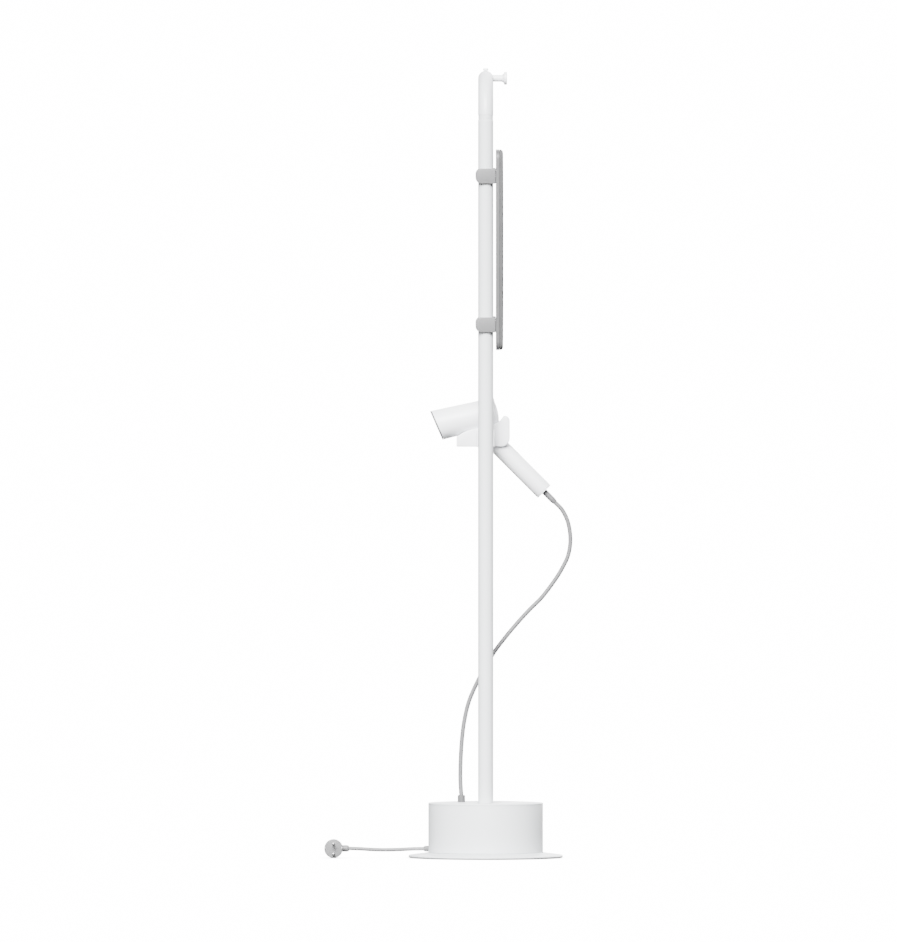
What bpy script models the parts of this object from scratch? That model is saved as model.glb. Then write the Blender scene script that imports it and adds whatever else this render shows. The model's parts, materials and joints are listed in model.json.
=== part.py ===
"""Floor-standing garment steamer.

A disc base holds a water tank and a pump. An arched tube frame stands in it and carries a hanger peg, a
pressing board on four sliding clips, and a fork in which the steam hand piece rests. A hose runs from the
hand piece's handle to the base, and a short mains cord with an angled plug lies on the floor behind.

Frame: metres, +Z up, +X is the front, where the board is. The origin is the centre of the foot ring's
underside. The hand piece, its handle and the hose lie in the middle plane, y = 0.
"""

import math

import bmesh
import bpy
from mathutils import Vector

MM = 0.001
GAP = 0.3 * MM
SHARP_ANGLE = math.radians(35)

# Arched tube frame
TUBE_RADIUS = 14 * MM
TUBE_BORE = 12.4 * MM
LEG_OFFSET = 73 * MM
LEG_FOOT = 18.6 * MM
BOW_START = 1372 * MM
APEX = BOW_START + LEG_OFFSET
SPIGOT_REACH = 30 * MM

# Hanger peg
PEG_RADIUS = 6.25 * MM
PEG_TIP = 39.6 * MM
PEG_DISC_RADIUS = 12 * MM

# Pressing board
BOARD_LOW = 942.4 * MM
BOARD_HIGH = 1312.8 * MM
BOARD_HALF_WIDTH = 105 * MM
BOARD_BACK = 18.8 * MM
BOARD_SEAM = 26 * MM
BOARD_FRONT = 32.9 * MM
BOARD_CORNER = 16 * MM
BOARD_EDGE_ROUND = 6 * MM

# Clips that hold the board on the legs
CLIP_HEIGHTS = {"lower": 989.1 * MM, "upper": 1264.4 * MM}
CLIP_BACK = -19 * MM
CLIP_HALF_HEIGHT = 14 * MM
CLIP_END_RADIUS = 12 * MM
CLIP_HALF_WIDTH = 19 * MM
CLIP_SCREW_INSET = 12 * MM

# Fork that cradles the hand piece
FORK_LOW = 762.7 * MM
FORK_BACK = -54 * MM
FORK_FRONT = 44.4 * MM
FORK_HALF_GAP = 17 * MM
FORK_HALF_WIDTH = 24 * MM
FORK_WEB_INNER = -46 * MM
ARM_BACK = -17 * MM
ARM_FRONT = 16.4 * MM
ARM_HIGH = 793.7 * MM
ARM_SCREW_HEIGHT = 778 * MM

# Hand piece: the barrel's axis runs from the middle of its rear cap down to the mouth
BARREL_REAR = Vector((20.7, 0, 827.8)) * MM
BARREL_TILT = math.radians(13.1)
BARREL_LENGTH = 115.3 * MM
BARREL_REAR_RADIUS = 26.35 * MM
BARREL_MOUTH_RADIUS = 28.5 * MM
BARREL_WALL = 2.4 * MM
REAR_CAP_DEPTH = 2.6 * MM
MOUTH_RING_DEPTH = 2.7 * MM
MOUTH_SLANT = math.tan(math.radians(10.4))
BARREL_DIRECTION = Vector((-math.cos(BARREL_TILT), 0, -math.sin(BARREL_TILT)))
LIFT_DIRECTION = Vector((-math.sin(BARREL_TILT), 0, math.cos(BARREL_TILT)))

# Handle, which leaves the barrel at 45 degrees
HANDLE_END = Vector((108.6, 0, 679.1)) * MM
HANDLE_DIRECTION = Vector((1, 0, -1)).normalized()
HANDLE_LENGTH = 198 * MM
HANDLE_TOP = HANDLE_END - HANDLE_DIRECTION * HANDLE_LENGTH
HANDLE_RADIUS = 16.7 * MM
HANDLE_BORE = 14.4 * MM
HANDLE_CAP_DEPTH = 2.5 * MM
BUTTON_PLACE = 105 * MM
BUTTON_HALF_LENGTH = 13 * MM
BUTTON_HALF_WIDTH = 5.5 * MM
BUTTON_INNER_RADIUS = 12.6 * MM
RELIEF_LENGTH = 28 * MM
RELIEF_RADIUS = 5.5 * MM

# Base
BASE_STEPS = 44
PLATE_LOW = 1.2 * MM
PLATE_HIGH = 10 * MM
PLATE_RADIUS = 144 * MM
BASE_RADIUS = 106.35 * MM
BASE_WALL = 2.3 * MM
BASE_HIGH = 103.4 * MM
COVER_SEAM = 98.8 * MM
CROWN_RADIUS = 84 * MM
CROWN_DROP = 1 * MM
FOOT_INNER = 118 * MM
FOOT_OUTER = 132 * MM
FOOT_GROOVE = 3.2 * MM
SHELL_SCREW_RADIUS = 96 * MM
SHELL_SCREW_ANGLES = (60, 150, 210, 300)

# Water tank and its filler
TANK_RADIUS = 84 * MM
TANK_LOW = 13 * MM
TANK_HIGH = 86 * MM
TANK_WALL = 2 * MM
TANK_BACK = -8 * MM
NECK_X = 55 * MM
NECK_HALF = 15 * MM
NECK_OPENING = 12.5 * MM
FLAP_AXIS_X = 30.5 * MM
FLAP_HALF_THICKNESS = 2.2 * MM
FLAP_FRONT = 79.7 * MM
FLAP_HALF_WIDTH = 24 * MM
FLAP_AXIS_Z = BASE_HIGH - FLAP_HALF_THICKNESS
POCKET_FLOOR = 98.6 * MM
POCKET_LOW = 95.8 * MM

# Power button, pump, hose collar and mains gland
POWER_HEIGHT = 60 * MM
POWER_RADIUS = 8 * MM
COLLAR_X = -45 * MM
COLLAR_TOP = 116.7 * MM
GLAND_Z = 17 * MM

# Steam hose and mains cord: the points their middles pass through, as (x, z)
HOSE_RADIUS = 4 * MM
HOSE_ROUTE = [
    (128.9, 658.8), (142.3, 644.3), (153.0, 620.5), (157.1, 589.8), (153.0, 561.4), (142.3, 537.9),
    (129.3, 516.5), (104.5, 483.5), (80.9, 459.8), (57.2, 433.8), (33.7, 405.5), (12.9, 377.1),
    (-10.5, 335.8), (-29.9, 293.1), (-39.2, 256.0), (-44.0, 219.0), (-46.3, 181.9), (-46.8, 144.8),
    (-45.0, 117.0),
]
CORD_RADIUS = 3.4 * MM
CORD_ROUTE = [
    (-115.3, 17.0), (-135.0, 16.6), (-160.0, 15.4), (-185.0, 14.9), (-210.0, 15.4), (-235.0, 16.9),
    (-253.0, 17.5),
]
POINTS_PER_METRE = 1 / (18 * MM)

# Angled plug, which lies on its side with its pins along -Y
PLUG_X = -282 * MM
PLUG_Z = 17.5 * MM
PLUG_RADIUS = 17.25 * MM
PLUG_BACK = 7 * MM
PLUG_FACE = -27.8 * MM
PLUG_CHAMFER = 12 * MM
SLEEVE_RADIUS = 6.2 * MM
SLEEVE_END = -253.3 * MM
PIN_RADIUS = 2.4 * MM
PIN_LENGTH = 19 * MM
PIN_SPACING = 19 * MM

# Finishes: colour, roughness, metallic
WHITE_PAINT = ((0.74, 0.76, 0.78), 0.35, 0.0)
WHITE_PLASTIC = ((0.83, 0.84, 0.85), 0.4, 0.0)
GREY_PLASTIC = ((0.52, 0.52, 0.53), 0.5, 0.0)
GREY_FABRIC = ((0.43, 0.43, 0.44), 0.9, 0.0)
DARK_PLASTIC = ((0.17, 0.17, 0.18), 0.5, 0.0)
HOSE_PLASTIC = ((0.42, 0.42, 0.43), 0.45, 0.0)
CORD_PLASTIC = ((0.38, 0.38, 0.39), 0.5, 0.0)
DARK_RUBBER = ((0.06, 0.06, 0.06), 0.85, 0.0)
CLEAR_PLASTIC = ((0.70, 0.78, 0.84), 0.2, 0.0)
CIRCUIT_GREEN = ((0.05, 0.25, 0.12), 0.5, 0.0)
BASE_PLASTIC = ((0.74, 0.76, 0.78), 0.4, 0.0)
BRUSHED_STEEL = ((0.62, 0.62, 0.63), 0.3, 1.0)
CAST_ALUMINIUM = ((0.55, 0.55, 0.56), 0.45, 1.0)
PIN_METAL = ((0.50, 0.50, 0.50), 0.3, 1.0)

SIDES = (("left", 1), ("right", -1))
ALONG_X = (1, 0, 0)
ALONG_Y = (0, 1, 0)
ALONG_Z = (0, 0, 1)


# ---------------------------------------------------------------- helpers


def principled(name, finish):
    colour, roughness, metallic = finish
    made = bpy.data.materials.new(name)
    made.use_nodes = True
    shader = made.node_tree.nodes["Principled BSDF"]
    shader.inputs["Base Color"].default_value = (*colour, 1)
    shader.inputs["Roughness"].default_value = roughness
    shader.inputs["Metallic"].default_value = metallic
    return made


def placed(name, bm, finish, at=(0, 0, 0), facing=ALONG_Z):
    """Links the mesh as an object whose own Z axis points along facing. Without a finish it is a hidden tool."""
    bmesh.ops.recalc_face_normals(bm, faces=bm.faces)
    mesh = bpy.data.meshes.new(name)
    bm.to_mesh(mesh)
    bm.free()
    mesh.shade_smooth()
    mesh.set_sharp_from_angle(angle=SHARP_ANGLE)
    obj = bpy.data.objects.new(name, mesh)
    bpy.context.scene.collection.objects.link(obj)
    obj.location = at
    obj.rotation_mode = "QUATERNION"
    obj.rotation_quaternion = Vector(ALONG_Z).rotation_difference(Vector(facing))
    if finish is None:
        obj.hide_render = True
        obj.display_type = "WIRE"
    else:
        mesh.materials.append(principled(name, finish))
    return obj


def turned(name, profile, finish=None, at=(0, 0, 0), facing=ALONG_Z, steps=28):
    """Turns (radius, height) points about the Z axis. A profile that stays off the axis is closed to a ring."""
    bm = bmesh.new()
    points = [bm.verts.new((radius, 0, height)) for radius, height in profile]
    edges = [bm.edges.new(pair) for pair in zip(points, points[1:])]
    if profile[0][0] > 0:
        edges.append(bm.edges.new((points[-1], points[0])))
    bmesh.ops.spin(bm, geom=points + edges, axis=ALONG_Z, angle=math.tau, steps=steps, use_merge=True)
    bmesh.ops.remove_doubles(bm, verts=bm.verts, dist=1e-6)
    return placed(name, bm, finish, at, facing)


def rod(name, radius, low, high, finish=None, at=(0, 0, 0), facing=ALONG_Z, steps=20):
    profile = [(0, low), (radius, low), (radius, high), (0, high)]
    return turned(name, profile, finish, at, facing, steps)


def sleeve(name, outer, inner, low, high, finish=None, at=(0, 0, 0), facing=ALONG_Z, steps=28):
    profile = [(inner, low), (outer, low), (outer, high), (inner, high)]
    return turned(name, profile, finish, at, facing, steps)


def countersunk(name, head, shank, depth, length, finish, at, facing, steps=12):
    """A screw whose head's top is at its origin and whose shank runs along its own Z axis."""
    profile = [(0, 0), (head, 0), (head, depth * 0.4), (shank, depth), (shank, length), (0, length)]
    return turned(name, profile, finish, at, facing, steps)


def extruded(name, outline, travel, finish=None):
    """A prism: the flat outline through 3D points, pushed along the vector."""
    bm = bmesh.new()
    face = bm.faces.new([bm.verts.new(point) for point in outline])
    pushed = bmesh.ops.extrude_face_region(bm, geom=[face])["geom"]
    corners = [item for item in pushed if isinstance(item, bmesh.types.BMVert)]
    bmesh.ops.translate(bm, verts=corners, vec=travel)
    return placed(name, bm, finish)


def block(name, low, high, finish=None):
    bm = bmesh.new()
    bmesh.ops.create_cube(bm, size=1)
    low, high = Vector(low), Vector(high)
    bmesh.ops.scale(bm, vec=high - low, verts=bm.verts)
    bmesh.ops.translate(bm, vec=(low + high) / 2, verts=bm.verts)
    return placed(name, bm, finish)


def cut(obj, *tools):
    for tool in tools:
        modifier = obj.modifiers.new(tool.name, "BOOLEAN")
        modifier.operation = "DIFFERENCE"
        modifier.object = tool


def join(obj, *others):
    for other in others:
        modifier = obj.modifiers.new(other.name, "BOOLEAN")
        modifier.operation = "UNION"
        modifier.object = other


def soften(obj, width, segments=2, angle=40):
    modifier = obj.modifiers.new("soft edges", "BEVEL")
    modifier.width = width
    modifier.segments = segments
    modifier.limit_method = "ANGLE"
    modifier.angle_limit = math.radians(angle)


def group(name, at, pieces):
    """Parents the pieces of one moving body to an empty on its joint, leaving them where they are."""
    empty = bpy.data.objects.new(name, None)
    empty.empty_display_size = 0.02
    bpy.context.scene.collection.objects.link(empty)
    empty.location = at
    for piece in pieces:
        piece.parent = empty
        piece.location -= Vector(at)


def arc(centre, radius, start, end, steps):
    """Points on an arc in a plane, from one angle in degrees to another."""
    angles = [math.radians(start + (end - start) * i / steps) for i in range(steps + 1)]
    return [(centre[0] + radius * math.cos(a), centre[1] + radius * math.sin(a)) for a in angles]


def smooth_route(points, per_metre):
    """Points along a Catmull-Rom curve through the given (x, z) points, in millimetres, as vectors at y = 0."""
    route = [Vector((x, 0, z)) * MM for x, z in points]
    ends = [2 * route[0] - route[1]] + route + [2 * route[-1] - route[-2]]
    made = []
    for before, start, end, after in zip(ends, ends[1:], ends[2:], ends[3:]):
        steps = max(1, round((end - start).length * per_metre))
        for step in range(steps):
            t = step / steps
            made.append(
                0.5 * (
                    2 * start
                    + (end - before) * t
                    + (2 * before - 5 * start + 4 * end - after) * t**2
                    + (3 * start - before - 3 * end + after) * t**3
                )
            )
    return made + [route[-1]]


def cord(name, route, radius, finish):
    curve = bpy.data.curves.new(name, "CURVE")
    curve.dimensions = "3D"
    curve.bevel_depth = radius
    curve.bevel_resolution = 2
    curve.use_fill_caps = True
    points = smooth_route(route, POINTS_PER_METRE)
    spline = curve.splines.new("POLY")
    spline.points.add(len(points) - 1)
    for slot, point in zip(spline.points, points):
        slot.co = (*point, 1)
    curve.materials.append(principled(name, finish))
    bpy.context.scene.collection.objects.link(bpy.data.objects.new(name, curve))


# ---------------------------------------------------------------- arched tube frame


def arched_tube(name, finish):
    """A half-round hollow tube standing on the XY plane, both of whose ends are open."""
    bm = bmesh.new()
    ring = bmesh.ops.create_circle(bm, segments=20, radius=TUBE_RADIUS)["verts"]
    bmesh.ops.translate(bm, verts=ring, vec=(0, LEG_OFFSET, 0))
    bmesh.ops.spin(bm, geom=bm.verts[:] + bm.edges[:], axis=ALONG_X, angle=math.pi, steps=14)
    tube = placed(name, bm, finish, at=(0, 0, BOW_START))
    wall = tube.modifiers.new("wall", "SOLIDIFY")
    wall.thickness = TUBE_RADIUS - TUBE_BORE
    wall.offset = -1
    return tube


def build_legs():
    legs = {}
    for side, sign in SIDES:
        y = sign * LEG_OFFSET
        leg = sleeve(
            f"leg_{side}", TUBE_RADIUS, TUBE_BORE, LEG_FOOT, BOW_START - GAP, WHITE_PAINT, at=(0, y, 0)
        )
        inner_wall = y - sign * TUBE_RADIUS
        hole = rod(f"cut_leg_{side}", 2.8 * MM, -5 * MM, 5 * MM, at=(0, inner_wall, ARM_SCREW_HEIGHT),
                   facing=ALONG_Y, steps=12)
        cut(leg, hole)
        sleeve(
            f"bow_spigot_{side}", TUBE_BORE - GAP, 9.8 * MM, BOW_START - SPIGOT_REACH, BOW_START - GAP,
            BRUSHED_STEEL, at=(0, y, 0), steps=20,
        )
        legs[side] = leg
    return legs


def build_bow():
    bow = arched_tube("top_bow", WHITE_PAINT)
    peg_hole = rod("cut_bow_peg", PEG_RADIUS + GAP, 0, 2 * TUBE_RADIUS, at=(0, 0, APEX), facing=ALONG_X)
    screw_hole = rod("cut_bow_screw", 2.8 * MM, APEX, APEX + 2 * TUBE_RADIUS, steps=12)
    cut(bow, peg_hole, screw_hole)


def build_peg():
    flare = 30 * MM
    disc_back = 34.4 * MM
    profile = [
        (0, 1 * MM), (PEG_RADIUS, 1 * MM), (PEG_RADIUS, flare), (PEG_RADIUS + 1.6 * MM, flare + 2.6 * MM),
        (PEG_DISC_RADIUS - 1 * MM, disc_back), (PEG_DISC_RADIUS, disc_back + 1 * MM),
        (PEG_DISC_RADIUS, PEG_TIP - 1.4 * MM), (PEG_DISC_RADIUS - 1.4 * MM, PEG_TIP), (0, PEG_TIP),
    ]
    turned("hanger_peg", profile, WHITE_PLASTIC, at=(0, 0, APEX), facing=ALONG_X)
    seat = APEX + TUBE_RADIUS + GAP
    top = seat + 4.2 * MM
    cap = 4.8 * MM
    profile = [
        (0, APEX + 7 * MM), (2.5 * MM, APEX + 7 * MM), (2.5 * MM, seat), (cap, seat), (cap, top - 1 * MM),
        (cap - 1 * MM, top), (0, top),
    ]
    turned("peg_lock_screw", profile, WHITE_PLASTIC, steps=20)


# ---------------------------------------------------------------- pressing board


def board_outline(x, inset=0.0):
    """The board's rounded rectangle in the plane x, as 3D points."""
    radius = BOARD_CORNER - inset
    half, low, high = BOARD_HALF_WIDTH - inset - radius, BOARD_LOW + BOARD_CORNER, BOARD_HIGH - BOARD_CORNER
    corners = [((half, high), 0), ((-half, high), 90), ((-half, low), 180), ((half, low), 270)]
    return [(x, y, z) for centre, turn in corners for y, z in arc(centre, radius, turn, turn + 90, 5)]


def build_clip(level, side, sign):
    z, y = CLIP_HEIGHTS[level], sign * LEG_OFFSET
    centre_x = CLIP_BACK + CLIP_END_RADIUS
    rise = CLIP_HALF_HEIGHT - CLIP_END_RADIUS
    front = BOARD_BACK - GAP
    rounded = arc((centre_x, z + rise), CLIP_END_RADIUS, 90, 180, 6)
    rounded += arc((centre_x, z - rise), CLIP_END_RADIUS, 180, 270, 6)
    outline = [(front, z + CLIP_HALF_HEIGHT)] + rounded + [(front, z - CLIP_HALF_HEIGHT)]
    start = y - CLIP_HALF_WIDTH
    clip = extruded(
        f"clip_{level}_{side}", [(x, start, height) for x, height in outline],
        (0, 2 * CLIP_HALF_WIDTH, 0), GREY_PLASTIC,
    )
    soften(clip, 1.2 * MM, segments=1)
    reach = CLIP_HALF_HEIGHT + 2 * MM
    bore = rod(f"cut_clip_{level}_{side}", TUBE_RADIUS + GAP, z - reach, z + reach, at=(0, y, 0), steps=28)
    screw_y = y - sign * CLIP_SCREW_INSET
    hole = rod(f"cut_clip_hole_{level}_{side}", 2 * MM, 10 * MM, 22 * MM, at=(0, screw_y, z),
               facing=ALONG_X, steps=12)
    cut(clip, bore, hole)
    screw = countersunk(
        f"clip_screw_{level}_{side}", 3.8 * MM, 1.7 * MM, 2.6 * MM, 14 * MM, BRUSHED_STEEL,
        at=(BOARD_SEAM - 0.2 * MM, screw_y, z), facing=(-1, 0, 0),
    )
    return clip, screw, screw_y


def build_board():
    tray = extruded("board_tray", board_outline(BOARD_BACK), (BOARD_SEAM - BOARD_BACK, 0, 0), GREY_PLASTIC)
    pad_back = BOARD_SEAM + GAP
    pad = extruded("board_pad", board_outline(pad_back), (BOARD_FRONT - pad_back, 0, 0), GREY_FABRIC)
    round_front_edge(pad)
    pieces = [tray, pad]
    for level in CLIP_HEIGHTS:
        for side, sign in SIDES:
            clip, screw, screw_y = build_clip(level, side, sign)
            well = countersunk(
                f"cut_tray_{level}_{side}", 4.2 * MM, 2 * MM, 3 * MM, 12 * MM, None,
                at=(BOARD_SEAM + 0.1 * MM, screw_y, CLIP_HEIGHTS[level]), facing=(-1, 0, 0),
            )
            cut(tray, well)
            pieces += [clip, screw]
    group("board_carriage", (0, 0, (BOARD_LOW + BOARD_HIGH) / 2), pieces)


def round_front_edge(pad):
    bm = bmesh.new()
    bm.from_mesh(pad.data)
    rim = [edge for edge in bm.edges if all(abs(vert.co.x - BOARD_FRONT) < 1e-6 for vert in edge.verts)]
    bmesh.ops.bevel(bm, geom=rim, offset=BOARD_EDGE_ROUND, segments=4, profile=0.5, affect="EDGES")
    bm.to_mesh(pad.data)
    bm.free()


# ---------------------------------------------------------------- fork


def fork_outline():
    """The side outline of a cheek, as (x, z): flat foot, rounded front, and a top that follows the barrel."""
    foot_round = 16 * MM
    lobe_round = 9 * MM
    points = [(FORK_BACK, 780.7 * MM), (FORK_BACK, FORK_LOW)]
    points += arc((FORK_FRONT - foot_round, FORK_LOW + foot_round), foot_round, 270, 360, 5)
    points += arc((FORK_FRONT - lobe_round, 810.2 * MM), lobe_round, 0, 100, 4)
    points += [(25.7 * MM, 809.4 * MM), (14.2 * MM, 804.2 * MM), (-14.2 * MM, 797.8 * MM)]
    points += [(-34.6 * MM, 792.2 * MM), (-44.8 * MM, 787.2 * MM)]
    return points


def barrel_tool(name, extra):
    """The barrel's solid outer cone, grown by extra, for cutting its neighbours."""
    profile = [
        (0, -extra), (BARREL_REAR_RADIUS + extra, -extra),
        (BARREL_MOUTH_RADIUS + extra, BARREL_LENGTH), (0, BARREL_LENGTH),
    ]
    return turned(name, profile, at=BARREL_REAR, facing=BARREL_DIRECTION, steps=40)


def build_fork():
    outline = [(x, -FORK_HALF_WIDTH, z) for x, z in fork_outline()]
    fork = extruded("hand_piece_fork", outline, (0, 2 * FORK_HALF_WIDTH, 0), WHITE_PLASTIC)
    soften(fork, 2 * MM)
    inner = FORK_HALF_WIDTH - 1 * MM
    for side, sign in SIDES:
        low, high = sorted((sign * inner, sign * LEG_OFFSET))
        arm = block(f"join_arm_{side}", (ARM_BACK, low, FORK_LOW), (ARM_FRONT, high, ARM_HIGH))
        soften(arm, 1.5 * MM)
        join(fork, arm)
    slot = block(
        "cut_fork_slot", (FORK_WEB_INNER, -FORK_HALF_GAP, FORK_LOW - 10 * MM),
        (FORK_FRONT + 10 * MM, FORK_HALF_GAP, 840 * MM),
    )
    cut(fork, slot, barrel_tool("cut_fork_barrel", 0.4 * MM))
    for side, sign in SIDES:
        y = sign * LEG_OFFSET
        leg = rod(f"cut_fork_leg_{side}", TUBE_RADIUS + GAP, 740 * MM, 820 * MM, at=(0, y, 0), steps=28)
        well = countersunk(
            f"cut_fork_screw_{side}", 4.8 * MM, 2.8 * MM, 3.2 * MM, 60 * MM, None,
            at=(0, sign * (FORK_HALF_GAP - 0.1 * MM), ARM_SCREW_HEIGHT), facing=(0, sign, 0),
        )
        cut(fork, leg, well)
        countersunk(
            f"fork_screw_{side}", 4.4 * MM, 2.4 * MM, 2.8 * MM, 48 * MM, BRUSHED_STEEL,
            at=(0, sign * (FORK_HALF_GAP + 0.4 * MM), ARM_SCREW_HEIGHT), facing=(0, sign, 0),
        )


# ---------------------------------------------------------------- hand piece


def barrel_radius(along):
    return BARREL_REAR_RADIUS + (BARREL_MOUTH_RADIUS - BARREL_REAR_RADIUS) * along / BARREL_LENGTH


def on_barrel(name, profile, finish, steps=32):
    return turned(name, profile, finish, at=BARREL_REAR, facing=BARREL_DIRECTION, steps=steps)


def slant(obj, beyond):
    """Tips everything beyond this height into the plane of the mouth, which faces more steeply down."""
    for vert in obj.data.vertices:
        if vert.co.z > beyond:
            vert.co.z += MOUTH_SLANT * vert.co.x


def build_barrel():
    seam = BARREL_LENGTH - MOUTH_RING_DEPTH
    rear = REAR_CAP_DEPTH + GAP
    shell = on_barrel("barrel_shell", [
        (barrel_radius(rear) - BARREL_WALL, rear), (barrel_radius(rear), rear),
        (barrel_radius(seam), seam - GAP), (barrel_radius(seam) - BARREL_WALL, seam - GAP),
    ], WHITE_PLASTIC)
    slant(shell, seam / 2)
    handle_hole = rod("cut_barrel_handle", 11 * MM, 0, 60 * MM, at=HANDLE_TOP, facing=HANDLE_DIRECTION)
    cut(shell, handle_hole)
    mouth = BARREL_MOUTH_RADIUS
    ring = on_barrel("mouth_ring", [
        (mouth - 5 * MM, seam), (mouth, seam), (mouth, BARREL_LENGTH - 0.8 * MM),
        (mouth - 0.8 * MM, BARREL_LENGTH), (mouth - 4.2 * MM, BARREL_LENGTH),
        (mouth - 5 * MM, BARREL_LENGTH - 0.8 * MM),
    ], DARK_PLASTIC)
    slant(ring, seam / 2)
    steam_plate = on_barrel("steam_plate", [
        (0, seam - 3.5 * MM), (mouth - 3.2 * MM, seam - 3.5 * MM), (mouth - 3.2 * MM, seam - GAP), (0, seam - GAP),
    ], BRUSHED_STEEL)
    slant(steam_plate, seam / 2)
    cut_steam_holes(steam_plate)
    cap_radius = barrel_radius(0)
    cap = on_barrel("rear_cap", [
        (0, 0), (cap_radius - 2 * MM, 0), (cap_radius - 0.5 * MM, 0.6 * MM), (cap_radius, 2 * MM),
        (cap_radius, REAR_CAP_DEPTH), (cap_radius - BARREL_WALL - GAP, REAR_CAP_DEPTH),
        (cap_radius - BARREL_WALL - GAP, 8 * MM), (0, 8 * MM),
    ], WHITE_PLASTIC)
    chamber = on_barrel("steam_chamber", [
        (0, 30 * MM), (18 * MM, 30 * MM), (20 * MM, 32 * MM), (20 * MM, 98 * MM), (18 * MM, 100 * MM), (0, 100 * MM),
    ], CAST_ALUMINIUM, steps=24)
    return [shell, ring, steam_plate, cap, chamber]


def cut_steam_holes(plate):
    across = Vector(BARREL_DIRECTION).cross(LIFT_DIRECTION)
    start = BARREL_REAR + BARREL_DIRECTION * (BARREL_LENGTH - 16 * MM)
    for i in range(8):
        angle = math.tau * i / 8
        offset = (LIFT_DIRECTION * math.cos(angle) + across * math.sin(angle)) * 14 * MM
        hole = rod(f"cut_steam_{i + 1}", 1.8 * MM, 0, 30 * MM, at=start + offset, facing=BARREL_DIRECTION, steps=6)
        cut(plate, hole)


def on_handle(name, profile, finish, steps=28):
    return turned(name, profile, finish, at=HANDLE_TOP, facing=HANDLE_DIRECTION, steps=steps)


def button_tool(name, extra):
    """A round-ended prism through the handle's upper wall, where the steam button sits."""
    length, width = BUTTON_HALF_LENGTH + extra, BUTTON_HALF_WIDTH + extra
    straight = length - width
    ends = arc((straight, 0), width, -90, 90, 6) + arc((-straight, 0), width, 90, 270, 6)
    upward = Vector((1, 0, 1)).normalized()
    middle = HANDLE_TOP + HANDLE_DIRECTION * BUTTON_PLACE + upward * 6 * MM
    outline = [middle + HANDLE_DIRECTION * along + Vector((0, across, 0)) for along, across in ends]
    return extruded(name, outline, upward * 20 * MM)


def build_handle():
    cap_start = HANDLE_LENGTH - HANDLE_CAP_DEPTH
    shell = on_handle("handle_shell", [
        (HANDLE_BORE, 0), (HANDLE_RADIUS, 0), (HANDLE_RADIUS, cap_start - GAP), (HANDLE_BORE, cap_start - GAP),
    ], WHITE_PLASTIC)
    cut(shell, barrel_tool("cut_handle_barrel", GAP), button_tool("cut_handle_button", GAP))
    cap = on_handle("handle_end_cap", [
        (4.3 * MM, cap_start), (HANDLE_RADIUS, cap_start), (HANDLE_RADIUS, HANDLE_LENGTH - 0.8 * MM),
        (HANDLE_RADIUS - 0.8 * MM, HANDLE_LENGTH), (4.3 * MM, HANDLE_LENGTH),
    ], WHITE_PLASTIC)
    relief_low = HANDLE_LENGTH + GAP
    relief_end = HANDLE_LENGTH + RELIEF_LENGTH
    relief = on_handle("hose_relief", [
        (0, 186 * MM), (4 * MM, 186 * MM), (4 * MM, relief_low), (RELIEF_RADIUS, relief_low),
        (RELIEF_RADIUS, relief_end - 7 * MM), (RELIEF_RADIUS - 0.9 * MM, relief_end), (0, relief_end),
    ], DARK_PLASTIC, steps=20)
    button = on_handle("steam_button", [
        (BUTTON_INNER_RADIUS, 88 * MM), (HANDLE_RADIUS, 88 * MM), (HANDLE_RADIUS, 122 * MM),
        (BUTTON_INNER_RADIUS, 122 * MM),
    ], GREY_PLASTIC)
    keep = button.modifiers.new("button outline", "BOOLEAN")
    keep.operation = "INTERSECT"
    keep.object = button_tool("keep_button", 0)
    pipe = rod("steam_pipe", 3 * MM, 30 * MM, 185 * MM, CLEAR_PLASTIC, at=HANDLE_TOP, facing=HANDLE_DIRECTION,
               steps=12)
    return [shell, cap, relief, pipe], button


def build_switch():
    """The microswitch under the steam button, fixed to the handle's upper inner wall."""
    upward = Vector((1, 0, 1)).normalized()
    corner = HANDLE_TOP + HANDLE_DIRECTION * (BUTTON_PLACE - 7 * MM) + upward * 4 * MM
    along, width, height = HANDLE_DIRECTION * 14 * MM, Vector((0, 3 * MM, 0)), upward * 6 * MM
    outline = [corner - width, corner + along - width, corner + along + width, corner + width]
    return extruded("steam_switch", outline, height, DARK_PLASTIC)


def build_hand_piece():
    barrel = build_barrel()
    handle, button = build_handle()
    group("hand_piece", BARREL_REAR, barrel + handle + [build_switch()])
    group("steam_trigger", HANDLE_TOP + HANDLE_DIRECTION * BUTTON_PLACE, [button])


# ---------------------------------------------------------------- base


def build_plate():
    plate = turned("base_plate", [
        (0, PLATE_LOW), (FOOT_INNER, PLATE_LOW), (FOOT_INNER, FOOT_GROOVE), (FOOT_OUTER, FOOT_GROOVE),
        (FOOT_OUTER, PLATE_LOW), (PLATE_RADIUS - 2.2 * MM, PLATE_LOW), (PLATE_RADIUS - 0.5 * MM, 2 * MM),
        (PLATE_RADIUS, 3.4 * MM), (PLATE_RADIUS - 0.7 * MM, 4.9 * MM), (PLATE_RADIUS - 3 * MM, 5.9 * MM),
        (BASE_RADIUS + 2 * MM, PLATE_HIGH), (0, PLATE_HIGH),
    ], WHITE_PAINT, steps=BASE_STEPS)
    for side, sign in SIDES:
        y = sign * LEG_OFFSET
        well = turned(f"cut_plate_{side}", [
            (0, 0), (6.6 * MM, 0), (6.6 * MM, 5.4 * MM), (3.4 * MM, 5.4 * MM), (3.4 * MM, 12 * MM), (0, 12 * MM),
        ], at=(0, y, 0), steps=16)
        cut(plate, well)
        turned(f"leg_bolt_{side}", [
            (0, 1.5 * MM), (6 * MM, 1.5 * MM), (6 * MM, 5.1 * MM), (3 * MM, 5.1 * MM), (3 * MM, 17 * MM), (0, 17 * MM),
        ], BRUSHED_STEEL, at=(0, y, 0), steps=16)
    return plate


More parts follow.
